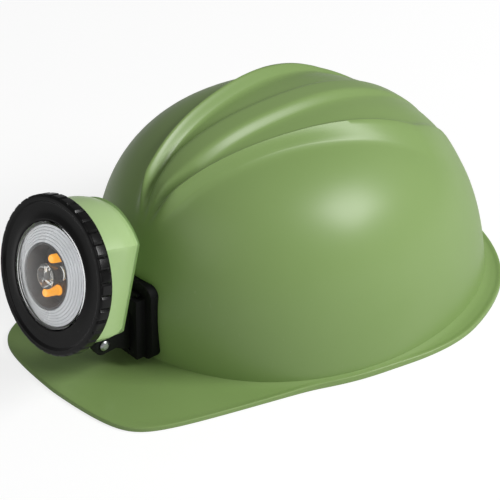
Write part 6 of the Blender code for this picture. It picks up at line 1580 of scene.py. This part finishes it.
# ---------------------------------------------------------------- studio
# A pale floor under a plain white backdrop, a large soft key light from the wearer's left and
# behind, and a weak fill in front. The camera stands where the photograph was taken from.
CAMERA_AZIMUTH = math.radians(50.34)
CAMERA_ELEVATION = math.radians(33.1)
CAMERA_DISTANCE = 2.048
CAMERA_TARGET = Vector((-46.5 * MM, 8.9 * MM, -4.2 * MM)) + SHELL_PLACE
CAMERA_LENS = 250.1
SENSOR = 36.0
AMBIENT = 0.22
FLOOR_HALF_SIZE = 4.0
FLOOR_DROP = 0.2 * MM
FLOOR_GLOW = 1.25
FLOOR_GLOW_SHARE = 0.62
# Each light: azimuth and elevation in degrees, distance and size in metres, and level.
LIGHTS = {"key_light": (122.0, 42.0, 1.6, 0.7, 0.8), "fill_light": (10.0, 30.0, 1.8, 1.2, 0.08)}


def direction(azimuth, elevation):
    """Unit vector from the object towards a place round it; azimuth 0 is in front."""
    across, up = math.cos(elevation), math.sin(elevation)
    return Vector((math.sin(azimuth) * across, -math.cos(azimuth) * across, up))


def add_camera():
    back = direction(CAMERA_AZIMUTH, CAMERA_ELEVATION)
    camera = add_object("camera", bpy.data.cameras.new("camera"))
    camera.location = CAMERA_TARGET + back * CAMERA_DISTANCE
    camera.rotation_euler = (-back).to_track_quat("-Z", "Y").to_euler()
    camera.data.sensor_width = SENSOR
    camera.data.lens = CAMERA_LENS
    camera.data.clip_start = 0.1
    camera.data.clip_end = 20.0
    bpy.context.scene.camera = camera


def add_area_light(name, azimuth, elevation, distance, size, level):
    """A square soft light; level 1 lights a facing surface so that its colour renders as written."""
    light = bpy.data.lights.new(name, "AREA")
    light.size = size
    light.energy = level * (math.pi * distance) ** 2
    lamp = add_object(name, light)
    towards = direction(math.radians(azimuth), math.radians(elevation))
    lamp.location = SHELL_PLACE + towards * distance
    lamp.rotation_euler = (-towards).to_track_quat("-Z", "Y").to_euler()


def seen_directly(tree):
    """1 for rays from the camera and through glass, 0 for all others."""
    path = put_node(tree, "ShaderNodeLightPath")
    return maths(tree, "MAXIMUM", path.outputs["Is Camera Ray"], path.outputs["Is Transmission Ray"])


def add_floor():
    mesh_maker = bmesh.new()
    bmesh.ops.create_grid(mesh_maker, x_segments=1, y_segments=1, size=FLOOR_HALF_SIZE)
    floor = add_object("floor", written("floor", mesh_maker))
    floor.location.z = -FLOOR_DROP
    material = bpy.data.materials.new("floor_pale")
    material.use_nodes = True
    tree = material.node_tree
    tree.nodes.clear()
    plain = put_node(tree, "ShaderNodeBsdfDiffuse", {"Color": (0.8, 0.8, 0.8, 1.0)})
    glow = put_node(tree, "ShaderNodeEmission", {"Color": (1.0, 1.0, 1.0, 1.0), "Strength": FLOOR_GLOW})
    lifted = put_node(tree, "ShaderNodeMixShader", {0: FLOOR_GLOW_SHARE, 1: plain.outputs["BSDF"],
                                                    2: glow.outputs["Emission"]})
    chosen = put_node(tree, "ShaderNodeMixShader", {0: seen_directly(tree), 1: plain.outputs["BSDF"],
                                                    2: lifted.outputs["Shader"]})
    output = put_node(tree, "ShaderNodeOutputMaterial")
    tree.links.new(chosen.outputs["Shader"], output.inputs["Surface"])
    floor.data.materials.append(material)


def set_world(ambient):
    """White backdrop where it is seen, and a weaker even light from all round."""
    world = bpy.data.worlds.new("studio")
    world.use_nodes = True
    tree = world.node_tree
    strength = mapped(tree, seen_directly(tree), 0.0, 1.0, ambient, 1.0)
    background = tree.nodes["Background"]
    background.inputs["Color"].default_value = (1.0, 1.0, 1.0, 1.0)
    tree.links.new(strength, background.inputs["Strength"])
    bpy.context.scene.world = world


add_camera()
add_floor()
set_world(AMBIENT)
for name, values in LIGHTS.items():
    add_area_light(name, *values)
bpy.context.scene.view_settings.view_transform = "Standard"
